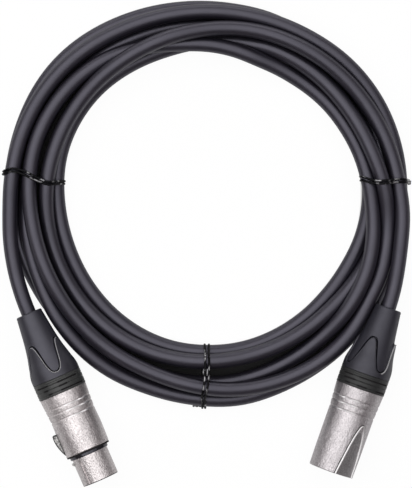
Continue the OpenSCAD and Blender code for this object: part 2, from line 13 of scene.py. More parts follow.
import bmesh
import bpy
import numpy as np
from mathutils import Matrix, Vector


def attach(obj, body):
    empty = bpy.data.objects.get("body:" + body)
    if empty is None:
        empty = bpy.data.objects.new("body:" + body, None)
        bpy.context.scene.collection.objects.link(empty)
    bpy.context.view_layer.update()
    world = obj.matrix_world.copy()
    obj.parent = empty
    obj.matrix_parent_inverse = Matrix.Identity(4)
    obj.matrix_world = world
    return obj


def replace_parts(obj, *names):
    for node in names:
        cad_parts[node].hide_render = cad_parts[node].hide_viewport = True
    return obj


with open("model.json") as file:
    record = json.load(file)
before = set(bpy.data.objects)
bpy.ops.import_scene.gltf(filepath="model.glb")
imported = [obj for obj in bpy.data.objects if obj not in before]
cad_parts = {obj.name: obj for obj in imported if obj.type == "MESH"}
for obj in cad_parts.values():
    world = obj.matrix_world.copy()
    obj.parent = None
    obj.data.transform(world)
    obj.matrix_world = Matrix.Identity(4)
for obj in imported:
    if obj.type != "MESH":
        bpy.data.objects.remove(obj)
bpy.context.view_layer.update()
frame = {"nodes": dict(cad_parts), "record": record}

MM = 0.001
TURN = 360
FULL = 2 * math.pi

SLOT_OF = {row["node"]: row["material_slot"] for row in frame["record"]["subparts"]}

# --- camera ---

PHOTO_SIZE = (412, 488)
PIXEL = 0.000424
FOCUS_Z = 0.010
CAMERA_AT = (-0.0002, 0.0, 1.51)
SENSOR = 36


def put(name, data):
    made = bpy.data.objects.new(name, data)
    bpy.context.collection.objects.link(made)
    return made


def make_camera():
    data = bpy.data.cameras.new("camera")
    data.sensor_width = SENSOR
    data.lens = SENSOR * (CAMERA_AT[2] - FOCUS_Z) / (PHOTO_SIZE[1] * PIXEL)
    data.clip_start = 0.05
    data.clip_end = 10
    camera = put("camera", data)
    camera.location = CAMERA_AT
    bpy.context.scene.camera = camera


# --- materials ---


def new_node(tree, kind, inputs=(), **settings):
    """A node with its settings made, and each of its inputs set or linked."""
    node = tree.nodes.new("ShaderNode" + kind)
    for name, value in settings.items():
        setattr(node, name, value)
    for socket, value in dict(inputs).items():
        if isinstance(value, bpy.types.NodeSocket):
            tree.links.new(value, node.inputs[socket])
        else:
            node.inputs[socket].default_value = value
    return node


FINISHES = {}


class Finish:
    """A procedural material: a Principled shader with constants on its own sockets."""

    def __init__(self, name, color, roughness, metallic=0.0, **constants):
        FINISHES[name] = bpy.data.materials.new(name)
        FINISHES[name].use_nodes = True
        self.tree = FINISHES[name].node_tree
        self.shader = self.tree.nodes["Principled BSDF"]
        self.color = color
        self.roughness = roughness
        constants |= {"Base_Color": (*color, 1), "Roughness": roughness, "Metallic": metallic}
        for socket, value in constants.items():
            self.shader.inputs[socket.replace("_", " ")].default_value = value
        self.place = new_node(self.tree, "TexCoord").outputs["Object"]

    def link(self, output, socket):
        self.tree.links.new(output, self.shader.inputs[socket])

    def noise(self, grain, detail=3.0, stretch=None, turn=0.0):
        """Noise whose grain is given in millimetres, stretched along axes that are turned
        by so many degrees on the floor."""
        place = self.place
        if stretch:
            inputs = {"Vector": place, "Angle": math.radians(turn)}
            level = new_node(self.tree, "VectorRotate", inputs, rotation_type="Z_AXIS")
            inputs = {"Vector": level.outputs["Vector"], "Scale": stretch}
            place = new_node(self.tree, "Mapping", inputs).outputs["Vector"]
        inputs = {"Vector": place, "Scale": 1 / (grain * MM), "Detail": detail}
        return new_node(self.tree, "TexNoise", inputs).outputs["Fac"]

    def ramp(self, value, low, high, start=0.3, end=0.7):
        """The value spread between two numbers."""
        inputs = {"Value": value, "From Min": start, "From Max": end}
        inputs |= {"To Min": low, "To Max": high}
        return new_node(self.tree, "MapRange", inputs).outputs["Result"]

    def vary_roughness(self, value, spread):
        mixed = self.ramp(value, self.roughness - spread, self.roughness + spread)
        self.link(mixed, "Roughness")

    def vary_color(self, value, other, share=1.0, *limits):
        inputs = {"A": (*self.color, 1), "B": (*other, 1)}
        inputs["Factor"] = self.ramp(value, 0, share, *limits)
        mix = new_node(self.tree, "Mix", inputs, data_type="RGBA")
        self.link(mix.outputs["Result"], "Base Color")

    def bump(self, value, height):
        """Bump of the given height in millimetres, over any that is there."""
        inputs = {"Strength": 1, "Distance": height * MM, "Height": value}
        normal = self.shader.inputs["Normal"]
        if normal.is_linked:
            inputs["Normal"] = normal.links[0].from_socket
        self.link(new_node(self.tree, "Bump", inputs).outputs["Normal"], "Normal")


def plastic(name, color, roughness, grain, rise, gloss=0.5, tint=(1, 1, 1)):
    finish = Finish(name, color, roughness, Specular_IOR_Level=gloss, Specular_Tint=(*tint, 1))
    fine = finish.noise(grain)
    finish.vary_roughness(finish.noise(grain * 9), 0.05)
    finish.bump(fine, rise)


def metal(name, color, roughness, grain, rise):
    finish = Finish(name, color, roughness, metallic=1.0)
    fine = finish.noise(grain, 2)
    finish.vary_color(fine, [c * 0.86 for c in color], 0.8)
    finish.vary_roughness(finish.noise(grain * 7), 0.04)
    finish.bump(fine, rise)


def velvet_nickel(name, color, roughness, turn):
    """Plated die-cast metal, with a grain and soft streaks along the connector's axis."""
    finish = Finish(name, color, roughness, metallic=1.0)
    streaks = finish.noise(1.1, 3, stretch=(1, 0.28, 1), turn=-turn)
    grain = finish.noise(0.45, 2, stretch=(1, 0.6, 1), turn=-turn)
    finish.vary_color(grain, [c * 0.6 for c in color])
    finish.vary_roughness(streaks, 0.07)
    finish.bump(streaks, 0.16)
    finish.bump(grain, 0.17)


def latch_metal():
    """Worn bare metal with dark spots."""
    color = (0.55, 0.54, 0.53)
    finish = Finish("latch_metal", color, 0.40, metallic=1.0)
    spots = finish.noise(0.7, 2)
    finish.vary_color(spots, [c * 0.12 for c in color])
    finish.vary_roughness(finish.noise(2), 0.06)
    finish.bump(spots, 0.05)


def cable_jacket():
    finish = Finish(
        "cable_jacket",
        (0.009, 0.0085, 0.013),
        0.40,
        IOR=1.55,
        Specular_IOR_Level=0.95,
        Specular_Tint=(0.86, 0.84, 1, 1),
    )
    finish.vary_color(finish.noise(11), (0.012, 0.010, 0.015))
    finish.vary_roughness(finish.noise(5), 0.03)
    finish.bump(finish.noise(0.5), 0.004)
    finish.bump(finish.noise(7, 1), 0.05)


# Where the wire cover turns into grey metal, as painted glints
GLINT_RANGE = (0.52, 0.62)


def wire_cover():
    """Black plastic cover, dull, with patches of grey metal spread by noise that stand in for
    glints: painted highlights that also reflect the lamps.
    """
    finish = Finish("tie_wire", (0.004, 0.004, 0.005), 0.16, Specular_IOR_Level=0.1)
    glint_mask = finish.noise(3.5, 1)
    finish.vary_color(glint_mask, (0.30, 0.30, 0.31), 1.0, *GLINT_RANGE)
    finish.link(finish.ramp(glint_mask, 0, 1, *GLINT_RANGE), "Metallic")
    finish.vary_roughness(finish.noise(2), 0.04)
    finish.bump(finish.noise(1.5), 0.03)


def copper_strands():
    finish = Finish("core_shield", (0.6, 0.42, 0.28), 0.35, metallic=1.0)
    strands = finish.noise(0.15, stretch=(1, 1, 0.2))
    finish.bump(strands, 0.05)


BLUISH = (0.88, 0.87, 1.0)
# Colour, roughness, grain in mm and its rise in mm; for some, gloss and tint
PLASTICS = {
    # A dark finish painted where there is only shade: dash bottoms, nose tip, seal lip, arch
    # line
    "edge_shade": ((0.02, 0.019, 0.02), 0.6, 0.3, 0.004, 0.1),
    # A light grey bead along the lobes' edge: a painted highlight
    "edge_shine": ((0.34, 0.34, 0.35), 0.25, 0.3, 0.004),
    "insert_plastic": ((0.02, 0.02, 0.022), 0.5, 0.3, 0.01),
    "chuck_plastic": ((0.72, 0.72, 0.68), 0.45, 0.4, 0.01),
    "bushing_plastic": ((0.024, 0.024, 0.030), 0.40, 0.25, 0.008, 0.9, BLUISH),
    "bushing_ring": ((0.036, 0.038, 0.037), 0.38, 0.25, 0.008, 0.6),
    "boot_rubber": ((0.022, 0.022, 0.029), 0.42, 0.3, 0.008, 0.95, BLUISH),
    # The male's boot, lobes and ring: darker copies, painted shade
    "boot_dark": ((0.017, 0.017, 0.023), 0.42, 0.3, 0.008, 0.75, BLUISH),
    "lobes_dark": ((0.019, 0.019, 0.024), 0.40, 0.25, 0.008, 0.74, BLUISH),
    "ring_dark": ((0.026, 0.027, 0.027), 0.38, 0.25, 0.008, 0.4),
    "core_red": ((0.55, 0.04, 0.03), 0.4, 0.3, 0.004),
    "core_blue": ((0.05, 0.08, 0.40), 0.4, 0.3, 0.004),
    "seal_rubber": ((0.006, 0.006, 0.008), 0.17, 0.3, 0.003, 0.95, BLUISH),
    "latch_plastic": ((0.035, 0.036, 0.037), 0.42, 0.5, 0.03, 0.4),
}
METALS = {
    # Bright metal for painted highlights in the grooves and round the arch
    "nickel_edge": ((0.99, 0.98, 0.98), 0.34, 0.3, 0.004),
    "contact_metal": ((0.83, 0.78, 0.68), 0.18, 0.1, 0.002),
    "spring_steel": ((0.62, 0.62, 0.62), 0.25, 0.1, 0.002),
}
# Colour, roughness and the turn of the connector that it covers
NICKELS = {
    "nickel_shell": ((0.91, 0.86, 0.86), 0.37, 23.5),
    # The male shell: a darker copy of the female's nickel, painted shade
    "nickel_male": ((0.72, 0.685, 0.70), 0.38, -19.5),
    # The face inside the arch: a darker copy still, painted shade
    "nickel_shade": ((0.48, 0.465, 0.475), 0.4, -19.5),
}
for make, rows in ((plastic, PLASTICS), (metal, METALS), (velvet_nickel, NICKELS)):
    for name, values in rows.items():
        make(name, *values)
cable_jacket()
wire_cover()
copper_strands()
latch_metal()

# --- mesh tools ---


SHARP = math.radians(34)
SAME_SPOT = 1e-7


def store(work, mesh):
    """Writes a mesh, smooth but for its sharp edges."""
    for face in work.faces:
        face.smooth = True
    for edge in work.edges:
        edge.smooth = len(edge.link_faces) < 2 or edge.calc_face_angle(0) < SHARP
    work.to_mesh(mesh)
    work.free()


def make_object(name, shape):
    """An object from (points in millimetres, faces)."""
    points, faces = shape
    mesh = bpy.data.meshes.new(name)
    mesh.from_pydata((np.asarray(points) * MM).tolist(), [], [list(f) for f in faces])
    work = bmesh.new()
    work.from_mesh(mesh)
    bmesh.ops.remove_doubles(work, verts=work.verts, dist=SAME_SPOT)
    bmesh.ops.recalc_face_normals(work, faces=work.faces)
    store(work, mesh)
    return put(name, mesh)


def add_piece(name, shape, finish, *nodes, body="root"):
    """A piece in place of CAD nodes, with the given finish."""
    piece = make_object(name, shape)
    piece.data.materials.append(FINISHES[finish])
    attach(piece, body)
    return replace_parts(piece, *nodes)


def angles(sides):
    return np.arange(sides) * FULL / sides


def denser_ends(count):
    """Numbers from -1 to 1, closer together towards both ends."""
    return np.sin(np.linspace(-0.5, 0.5, count) * math.pi)


def grid_faces(rows, columns, around_rows):
    """Quads of a grid that closes across its columns, and across its rows if told."""
    faces = []
    for j in range(rows if around_rows else rows - 1):
        low, high = j * columns, (j + 1) % rows * columns
        for i in range(columns):
            k = (i + 1) % columns
            faces.append((low + i, low + k, high + k, high + i))
    return faces


def tube(path, radius, sides, up=(0, 0, 1)):
    """A closed tube along a path, with flat ends, as (points, faces)."""
    path = np.asarray(path, float)
    ahead = np.gradient(path, axis=0)
    ahead /= np.linalg.norm(ahead, axis=1, keepdims=True)
    side = np.cross(ahead, np.asarray(up, float))
    side /= np.linalg.norm(side, axis=1, keepdims=True)
    top = np.cross(side, ahead)
    angle = angles(sides)
    across = np.cos(angle)[None, :, None] * side[:, None]
    ring = across + np.sin(angle)[None, :, None] * top[:, None]
    points = path[:, None] + radius * ring
    rows = len(path)
    ends = [range(sides), range((rows - 1) * sides, rows * sides)]
    return points.reshape(-1, 3), grid_faces(rows, sides, False) + ends


def join(*parts):
    """Several (points, faces) as one."""
    faces, start = [], 0
    for points, some_faces in parts:
        faces += [[i + start for i in f] for f in some_faces]
        start += len(points)
    return np.concatenate([points for points, _ in parts]), faces


ARC_SHARES = np.linspace(0, 1, 5)


def rounded(corners, spacing=0.8):
    """A closed outline of (s, r) through corners (s, r, reach of the rounding)."""
    count = len(corners)
    at = np.array([c[:2] for c in corners], float)
    reach = [c[2] if len(c) > 2 else 0 for c in corners]
    outline = []
    for i in range(count):
        here, before, after = at[i], at[i - 1], at[(i + 1) % count]
        if reach[i]:
            start = here + (before - here) * reach[i] / np.linalg.norm(before - here)
            end = here + (after - here) * reach[i] / np.linalg.norm(after - here)
            arc = [
                (1 - t) ** 2 * start + 2 * t * (1 - t) * here + t * t * end for t in ARC_SHARES
            ]
        else:
            arc = [here]
        if outline:
            outline += between(outline[-1], arc[0], spacing)
        outline += arc
    outline += between(outline[-1], outline[0], spacing)
    return np.array(outline)


def between(start, end, spacing):
    """Points that divide a straight stretch, with one close to each of its ends."""
    length = np.linalg.norm(end - start)
    guard = min(0.12, length / 4)
    inner = max(int((length - 2 * guard) / spacing), 1)
    shares = np.linspace(guard, length - guard, inner + 1) / length
    return [start + (end - start) * t for t in shares]


def on_axis(r, angle, s):
    """Points from their distance to the axis, angle around it and place along it."""
    return np.stack([r * np.sin(angle), r * np.cos(angle), s], axis=-1)


def turned(outline, sides, dent=None):
    """A closed outline of (s, r) turned around the axis, as (points, faces).

    The outline is one list for all angles, or one for each; dent(s, r, angle) gives how
    far a point lies below the plain shape.
    """
    angle = angles(sides)
    outline = np.asarray(outline, float)
    if outline.ndim == 2:
        outline = np.repeat(outline[:, None], sides, axis=1)
    s, r = outline[..., 0], outline[..., 1]
    if dent:
        r = r - dent(s, r, np.broadcast_to(angle, s.shape))
    return on_axis(r, angle, s).reshape(-1, 3), grid_faces(len(outline), sides, True)


def smoothstep(x):
    x = np.clip(x, 0, 1)
    return x * x * (3 - 2 * x)


def hermite(x, xs, ys):
    """A smooth curve through the points (xs, ys), read at x."""
    xs, ys = np.asarray(xs, float), np.asarray(ys, float)
    slope = np.gradient(ys, xs)
    i = np.clip(np.searchsorted(xs, x) - 1, 0, len(xs) - 2)
    step = xs[i + 1] - xs[i]
    t = (x - xs[i]) / step
    return (
        ys[i] * (1 + 2 * t) * (1 - t) ** 2
        + step * slope[i] * t * (1 - t) ** 2
        + ys[i + 1] * t**2 * (3 - 2 * t)
        + step * slope[i + 1] * t**2 * (t - 1)
    )


# --- cable ---

CABLE_D = 6.4
CABLE_R = CABLE_D / 2
CABLE_SIDES = 28
COIL_AT = (1.0, 18.7)
AXIS_Z = 10.6

# Each lead's route in metres, as the part has it: from inside its boot to the coil
FEMALE_ROUTE = [
    (-0.0598, -0.0651, 0.0106), (-0.0674, -0.0476, 0.0106), (-0.0754, -0.0293, 0.0106),
    (-0.0778, -0.0234, 0.0106), (-0.0797, -0.0173, 0.0104), (-0.0814, -0.0106, 0.0102),
    (-0.0826, -0.0036, 0.0100), (-0.0834, 0.0036, 0.0098), (-0.0834, 0.0110, 0.0094),
    (-0.0824, 0.0190, 0.0084),
]
MALE_ROUTE = [
    (0.0642, -0.0638, 0.0106), (0.0705, -0.0459, 0.0106), (0.0772, -0.0270, 0.0106),
    (0.0792, -0.0208, 0.0106), (0.0804, -0.0146, 0.0106), (0.0814, -0.0080, 0.0106),
    (0.0820, -0.0016, 0.0104), (0.0822, 0.0046, 0.0098), (0.0814, 0.0110, 0.0086),
]
BOOT_REAR = 2  # the route's point at the boot's rear end

# The turns: radius in mm by the degrees clockwise from +Y, counted on over the turns
TURNS = {
    276: 84.3, 290: 84.2, 310: 83.5, 340: 80.6, 390: 80.8, 410: 82.3, 438: 81.8, 460: 80.6,
    490: 82.7, 520: 84.3, 530: 85.1, 545: 84.1, 580: 81.5, 630: 77.6, 670: 76.3, 810: 68.1,
    850: 64.7, 890: 64.7, 910: 64.7, 990: 64.2, 1000: 65.4, 1030: 66.8, 1060: 66.3,
    1100: 69.3, 1160: 73.1, 1170: 75.3, 1210: 82.0, 1217: 82.9, 1245: 82.0, 1280: 77.0,
    1300: 76.1, 1340: 75.5, 1370: 77.4, 1400: 74.8, 1430: 67.2, 1440: 65.9, 1470: 63.3,
    1490: 64.9, 1530: 69.5, 1560: 74.2, 1575: 75.2, 1592: 76.0, 1610: 77.5, 1640: 79.5,
    1685: 81.2, 1730: 84.5, 1750: 85.4, 1780: 82.8, 1810: 80.8, 1830: 80.1, 1875: 76.3,
    1895: 73.6, 1930: 69.5, 1970: 68.3, 2000: 69.1, 2060: 69.0, 2140: 70.4, 2180: 75.0,
    2225: 78.8, 2250: 81.5, 2257: 82.6,
}
# How many strands lie under the cable along its way
LAYERS = {
    238: 2, 425: 2, 450: 0, 535: 0, 550: 1, 612: 1, 635: 0, 1060: 0, 1100: 0, 1135: 2,
    1385: 2, 1402: 1, 1612: 1, 1622: 0, 1895: 0, 1925: 0.5, 2105: 0.5, 2128: 2.2, 2155: 2.5,
    2290: 2.5,
}
# Stretches that lie under other strands, where the cable may settle sideways
COVERED = [
    (480, 515), (560, 600), (625, 800), (1062, 1094), (1616, 1672), (1690, 1790),
    (1838, 1912),
]
TIE_CLOCKS = {"tie_left": 277.4, "tie_right": 83.8, "tie_bottom": 181.0}
TIE_R = 0.5
TIE_ROOM = 9.0
TIE_LIFT = 1.3
COIL_STEP = 2
COIL_TURNS = 6
LAYER_RISE = 4.6
FAR = 1e3
# The cable settles in rounds: in each it goes a share of its way to its turn, sinks a
# little, evens out and keeps apart from itself
SETTLE_ROUNDS = 1500
EARLY_ROUNDS = 0.8 * SETTLE_ROUNDS
EARLY_FALL = 0.03
LATE_FALL = 0.01
PULL = 0.25
COVERED_PULL = 0.01
EASE = 0.25
PUSH_SHARE = 0.45
KEEP_OFF_SHARE = 0.9
# The stretch of the male boot that it keeps off, and the room to it
GUARDED = (-3.0, 30.0)
GUARD_ROOM = 0.1


def on_clock(point):
    """A plan point in millimetres as (degrees clockwise from +Y, radius)."""
    dx, dy = point[0] - COIL_AT[0], point[1] - COIL_AT[1]
    return math.degrees(math.atan2(dx, dy)) % TURN, math.hypot(dx, dy)


def lead_keys(route, turns):
    """The keys of a lead outside its boot, counted from the given number of turns."""
    keys = [on_clock(np.array(point) / MM) for point in route[BOOT_REAR:]]
    return [(clock + turns * TURN, radius) for clock, radius in keys]


def boot_guard(clock):
    """Where the male boot's axis crosses the coil at these clock angles, and the room
    that the cable needs around it: (radius, distance)."""
    rear = np.array(MALE_ROUTE[BOOT_REAR][:2]) / MM - COIL_AT
    inner = np.array(MALE_ROUTE[0][:2]) / MM - COIL_AT
    way = (inner - rear) / np.linalg.norm(inner - rear)
    s = np.arange(*GUARDED, 0.5)
    spots = rear + s[:, None] * way
    spot_clock = np.degrees(np.arctan2(spots[:, 0], spots[:, 1]))
    spot_r = np.hypot(spots[:, 0], spots[:, 1])
    radius = np.interp(clock, spot_clock, spot_r, left=FAR, right=FAR)
    room = np.interp(clock, spot_clock, boot_radius(s)) + CABLE_R + GUARD_ROOM
    return radius, room


def evened(values):
    """What each value but the first and last has to gain to lie between its neighbours."""
    return EASE * (values[:-2] + values[2:] - 2 * values[1:-1])


def settle():
    """Lays the cable down: pulled to its turns and to the floor, kept apart from itself."""
    first = lead_keys(FEMALE_ROUTE, 0)
    last = lead_keys(MALE_ROUTE, COIL_TURNS)[::-1]
    last = [key for key in last if key[0] > max(TURNS) + 4]
    keys = [key for key in first if key[0] < min(TURNS) - 8] + [*TURNS.items()] + last
    clock = np.arange(math.ceil(keys[0][0] / COIL_STEP) * COIL_STEP, keys[-1][0], COIL_STEP)
    plan = hermite(clock, *zip(*keys))
    layer = np.interp(clock, list(LAYERS), list(LAYERS.values()))
    firm = np.full(len(clock), PULL)
    for start, end in COVERED:
        firm[(clock > start) & (clock < end)] = COVERED_PULL
    for _ in range(3):
        firm[1:-1] += evened(firm)
    floor = np.full(len(clock), CABLE_R)
    for tie in TIE_CLOCKS.values():
        away = (clock - tie + TURN / 2) % TURN - TURN / 2
        floor = np.maximum(floor, CABLE_R + TIE_LIFT * np.exp(-((away / TIE_ROOM) ** 2)))
    guard_r, guard_room = boot_guard(clock % TURN)
    guard_r[clock > keys[-1][0] - TURN / 4] = FAR
    per = TURN // COIL_STEP
    pairs = [(slice(-m * per), slice(m * per, None)) for m in range(1, COIL_TURNS)]
    r, z = plan.copy(), CABLE_R + LAYER_RISE * layer
    for turn in range(SETTLE_ROUNDS):
        seen = plan * (1 + (FOCUS_Z / MM - z) / (CAMERA_AT[2] / MM - FOCUS_Z / MM))
        z -= EARLY_FALL if turn < EARLY_ROUNDS else LATE_FALL
        r += firm * (seen - r)
        z[1:-1] += evened(z)
        r[1:-1] += evened(r - seen)
        for _ in range(3):
            for low, high in pairs:
                push_apart(r, z, low, high)
            keep_off(r, z, guard_r, guard_room)
            z = np.maximum(z, floor)
        z[:2] = z[-2:] = AXIS_Z
        r[0], r[-1] = plan[0], plan[-1]
    return clock, r, z


def push_apart(r, z, low, high):
    """Moves two strands that overlap away from each other."""
    dr, dz = r[high] - r[low], z[high] - z[low]
    apart = np.hypot(dr, dz) + 1e-9
    push = PUSH_SHARE * np.maximum(0, CABLE_D - apart) / apart
    r[low] -= push * dr
    z[low] -= push * dz
    r[high] += push * dr
    z[high] += push * dz


def keep_off(r, z, guard_r, guard_room):
    """Moves strands that touch the male boot away from its axis."""
    dr, dz = r - guard_r, z - AXIS_Z
    apart = np.hypot(dr, dz)
    push = KEEP_OFF_SHARE * np.maximum(0, guard_room - apart) / apart
    r += push * dr
    z += push * dz


def on_plan(clock, r, z):
    turn = np.radians(clock)
    x, y = COIL_AT[0] + r * np.sin(turn), COIL_AT[1] + r * np.cos(turn)
    return np.column_stack([x, y, z])


def lead_inside(route):
    """The straight end of a lead inside its boot, up to the boot's rear end."""
    rear = np.array(route[BOOT_REAR]) / MM
    inner = np.array(route[0]) / MM
    way = (inner - rear) / np.linalg.norm(inner - rear)
    return np.array([rear + way * s for s in (25.0, 20.0, 15.0, 10.0, 7.0, 4.0)])


def cable_path(clock, r, z):
    path = np.concatenate(
        [lead_inside(FEMALE_ROUTE), on_plan(clock, r, z), lead_inside(MALE_ROUTE)[::-1]]
    )
    for _ in range(4):
        path[1:-1] += evened(path)
    return path


# --- ties ---

# Each tie's way over the strands: (radius, sideways step clockwise, pitch) in mm
TIE_WAYS = {
    "tie_left": [
        (62.3, -0.5, 1.1), (65.9, -1.3, 1.1), (68.8, -1.8, 1.1), (71.8, -1.1, 1.2),
        (74.7, -0.2, 1.4), (77.6, 0.8, 1.5), (80.3, 1.5, 1.4), (85.6, 1.4, 1.2),
        (88.0, 0.1, 1.2),
    ],
    "tie_right": [
        (65.2, -2.1, 1.7), (68.5, -0.6, 1.4), (71.6, 0.3, 1.2), (74.7, 0.6, 1.2),
        (79.0, 0.6, 1.2), (82.8, 0.8, 1.3), (85.1, 1.3, 1.1),
    ],
    "tie_bottom": [
        (61.8, -0.2, 1.8), (64.4, -0.3, 1.5), (69.0, -0.5, 1.6), (72.0, -0.5, 1.7),
        (77.3, -0.3, 1.6), (80.5, 0.2, 1.5), (83.8, 0.8, 1.3), (87.7, 0.6, 1.2),
    ],
}
# Each tie's twisted ends: (degrees above level where they leave, length in mm)
TIE_TAILS = {"tie_left": (-60, 4.5), "tie_right": (-35, 1.2), "tie_bottom": (-60, 4.5)}
# How far the wraps sink into the soft jacket at the coil's inner side
TIE_SINK = 0.4
TIE_GAP = 0.03
TIE_STEP = 0.7
TWIST_PITCH = 3
TWIST_OFF = 2.1 * TIE_R


def hull(points):
    """The convex hull of plane points, in order."""
    points = sorted(set(map(tuple, np.round(points, 6))))
    halves = []
    for run in (points, points[::-1]):
        half = []
        for p in run:
            while len(half) > 1 and turn_of(half[-2], half[-1], p) <= 0:
                half.pop()
            half.append(p)
        halves.append(half[:-1])
    return np.array(halves[0] + halves[1])


def turn_of(a, b, c):
    return (b[0] - a[0]) * (c[1] - a[1]) - (b[1] - a[1]) * (c[0] - a[0])


def even_steps(loop, step):
    """A closed loop with points the same distance apart."""
    loop = np.concatenate([loop, loop[:1]])
    length = np.concatenate([[0], np.cumsum(np.linalg.norm(np.diff(loop, axis=0), axis=1))])
    marks = np.arange(0, length[-1], step)
    return np.stack([np.interp(marks, length, loop[:, k]) for k in range(2)], axis=-1)


def tie_section(name, clock, r, z):
    """The tie's loop around the strands, as (radius, height), from its twisted ends."""
    turns = np.arange(TIE_CLOCKS[name], clock[-1], TURN)
    turns = turns[turns > clock[0]]
    centres = np.stack([np.interp(turns, clock, r), np.interp(turns, clock, z)], axis=-1)
    angle = angles(32)
    ring = (CABLE_R + TIE_R + TIE_GAP) * np.stack([np.cos(angle), np.sin(angle)], axis=-1)
    loop = even_steps(hull((centres[:, None] + ring).reshape(-1, 2)), TIE_STEP)
    loop[:, 0] = np.maximum(loop[:, 0], loop[:, 0].min() + TIE_SINK)
    start = math.radians(TIE_TAILS[name][0])
    outward = loop @ np.array([math.cos(start), math.sin(start)])
    loop = np.roll(loop, -int(np.argmax(outward)), axis=0)
    return np.concatenate([loop, loop[:1]])


def make_tie(name, clock, r, z):
    """Two wraps of wire side by side, joined where they start and end."""
    loop = tie_section(name, clock, r, z)
    r_way, step_way, pitch_way = zip(*TIE_WAYS[name])
    r_seen = np.clip(loop[:, 0], r_way[0], r_way[-1])
    over = hermite(r_seen, r_way, step_way)
    under = np.interp(r_seen, (r_way[0], r_way[-1]), (step_way[0], step_way[-1]))
    middle = (loop[:, 1].min() + loop[:, 1].max()) / 2
    top = smoothstep((loop[:, 1] - middle) / 3 + 0.5)
    sideways = under + (over - under) * top
    aside = hermite(r_seen, r_way, pitch_way) / 2
    wraps = [
        tie_points(name, loop[:, 0], sideways + side * aside, loop[:, 1]) for side in (-1, 1)
    ]
    step = np.linspace(0, 1, 9)[1:-1, None]
    crossing = wraps[0][-1] * (1 - step) + wraps[1][0] * step
    wire = np.concatenate([wraps[0], crossing, wraps[1]])
    parts = [tube(wire, TIE_R, 12, up=along_coil(name))]
    parts += tie_tail(name, loop, sideways[0])
    return add_piece(name + "_wire", join(*parts), "tie_wire", name)


def along_coil(name):
    """The direction in which the cable runs at a tie."""
    turn = math.radians(TIE_CLOCKS[name])
    return math.cos(turn), -math.sin(turn), 0.0


def tie_points(name, radius, sideways, height):
    """Points from radius, sideways step and height at a tie."""
    x, y, _ = along_coil(name)
    plan = np.array(COIL_AT) + np.asarray(radius)[:, None] * np.array([-y, x])
    return np.column_stack([plan + np.asarray(sideways)[:, None] * np.array([x, y]), height])


def tie_tail(name, loop, sideways):
    """The two twisted ends, tucked along the coil's outer side."""
    start, length = TIE_TAILS[name]
    start = math.radians(start)
    t = np.linspace(0, 1, 26)
    twist = t * length / TWIST_PITCH * FULL
    middle_r = loop[0, 0] + TWIST_OFF * math.cos(start)
    middle_z = max(loop[0, 1] + TWIST_OFF * math.sin(start), 2 * TIE_R)
    middle_s = sideways + length * t
    tails = []
    for side in (0, math.pi):
        r = middle_r + TIE_R * np.cos(twist + side)
        z = middle_z + TIE_R * np.sin(twist + side)
        tails.append(tube(tie_points(name, r, middle_s, z), TIE_R, 10))
    return tails


# --- connectors ---

GRIP = 36.3
RING_START = 29.5
RING_R = 10.6
BOOT_PROFILE = [(0, 5.6), (6, 6.35), (13, 7.3), (20.5, 8.8), (26, 10.0), (RING_START, 10.1)]
LOBE_CREST = 13.8
LOBE_TROUGH = 27.2
LOBE_RISE = 0.5
LOBE_REAR_RISE = 0.4
LOBES = 4
LOBE_ROUND = 1.4
LOBE_GAP = 0.36
CORE_R = 5.3
CORE_STEP_R = 6.9
BORE_R = CABLE_R + 0.05
SIDES = 192
FINE_SIDES = 256
RING_SIDES = 288
GROOVES = (4.9, 7.3, 10.2)
GROOVE_W = 0.8
GROOVE_DEPTH = 0.28
WAIST_AT = 10.2
THREAD_R = 8.55
THREAD_END = 44.3

# at, turn: the boot's rear end on the plan, and the axis's degrees from -Y
# key, lobe, lit_side: degrees around the axis of the key, a lobe's crest and the side whose
# grooves get a painted highlight
# shine, bead: where a lighter bead paints a highlight along the lobes' edge, and its bead's
# radius
# rear, waist: the shell's radii; dashes: from and to, in degrees, for each line
# blacks: the finishes of boot, lobes and ring; the male's are darker copies that paint shade on
# it
CONNECTORS = {
    "female": {
        "at": (-75.4, -29.3), "turn": 23.5, "key": -90.0, "lobe": 54.0, "lit_side": 27,
        "shine": (-36, 54), "bead": 0.17, "rear": 10.45, "waist": 9.78,
        "dashes": [[(-62, -24), (0, 56)], [(-42, -28), (0, 22)], [(-31, -21), (1, 68)]],
        "blacks": ("boot_rubber", "bushing_plastic", "bushing_ring"),
    },
    "male": {
        "at": (77.2, -27.0), "turn": -19.5, "key": 39.0, "lobe": -15.0, "lit_side": -27,
        "shine": (33, 78), "bead": 0.28, "rear": 10.5, "waist": 9.8,
        "dashes": [[(-62, -30), (-13, 72)], [(-54, -20)], [(-45, -30), (-11, 11), (36, 76)]],
        "blacks": ("boot_dark", "lobes_dark", "ring_dark"),
    },
}
male_pieces = []


def leaned(right, up, degrees):
    """Places around the axis, turned clockwise."""
    cos, sin = math.cos(math.radians(degrees)), math.sin(math.radians(degrees))
    return right * cos + up * sin, up * cos - right * sin


def placed(points, side, key=False):
    """Points (right, up, along) of a connector, in the part's frame. With key, up is
    first turned to where the connector's key lies."""
    spot = CONNECTORS[side]
    right, up, along = np.asarray(points, float).T
    if key:
        right, up = leaned(right, up, spot["key"])
    turn = math.radians(spot["turn"])
    x = spot["at"][0] + right * math.cos(turn) + along * math.sin(turn)
    y = spot["at"][1] + right * math.sin(turn) - along * math.cos(turn)
    return np.column_stack([x, y, AXIS_Z + up])


def boot_radius(s):
    stations, radii = zip(*BOOT_PROFILE)
    return hermite(np.clip(s, stations[0], stations[-1]), stations, radii)


def core_radius(s):
    return CORE_R + (CORE_STEP_R - CORE_R) * smoothstep((s - 13) / 8)


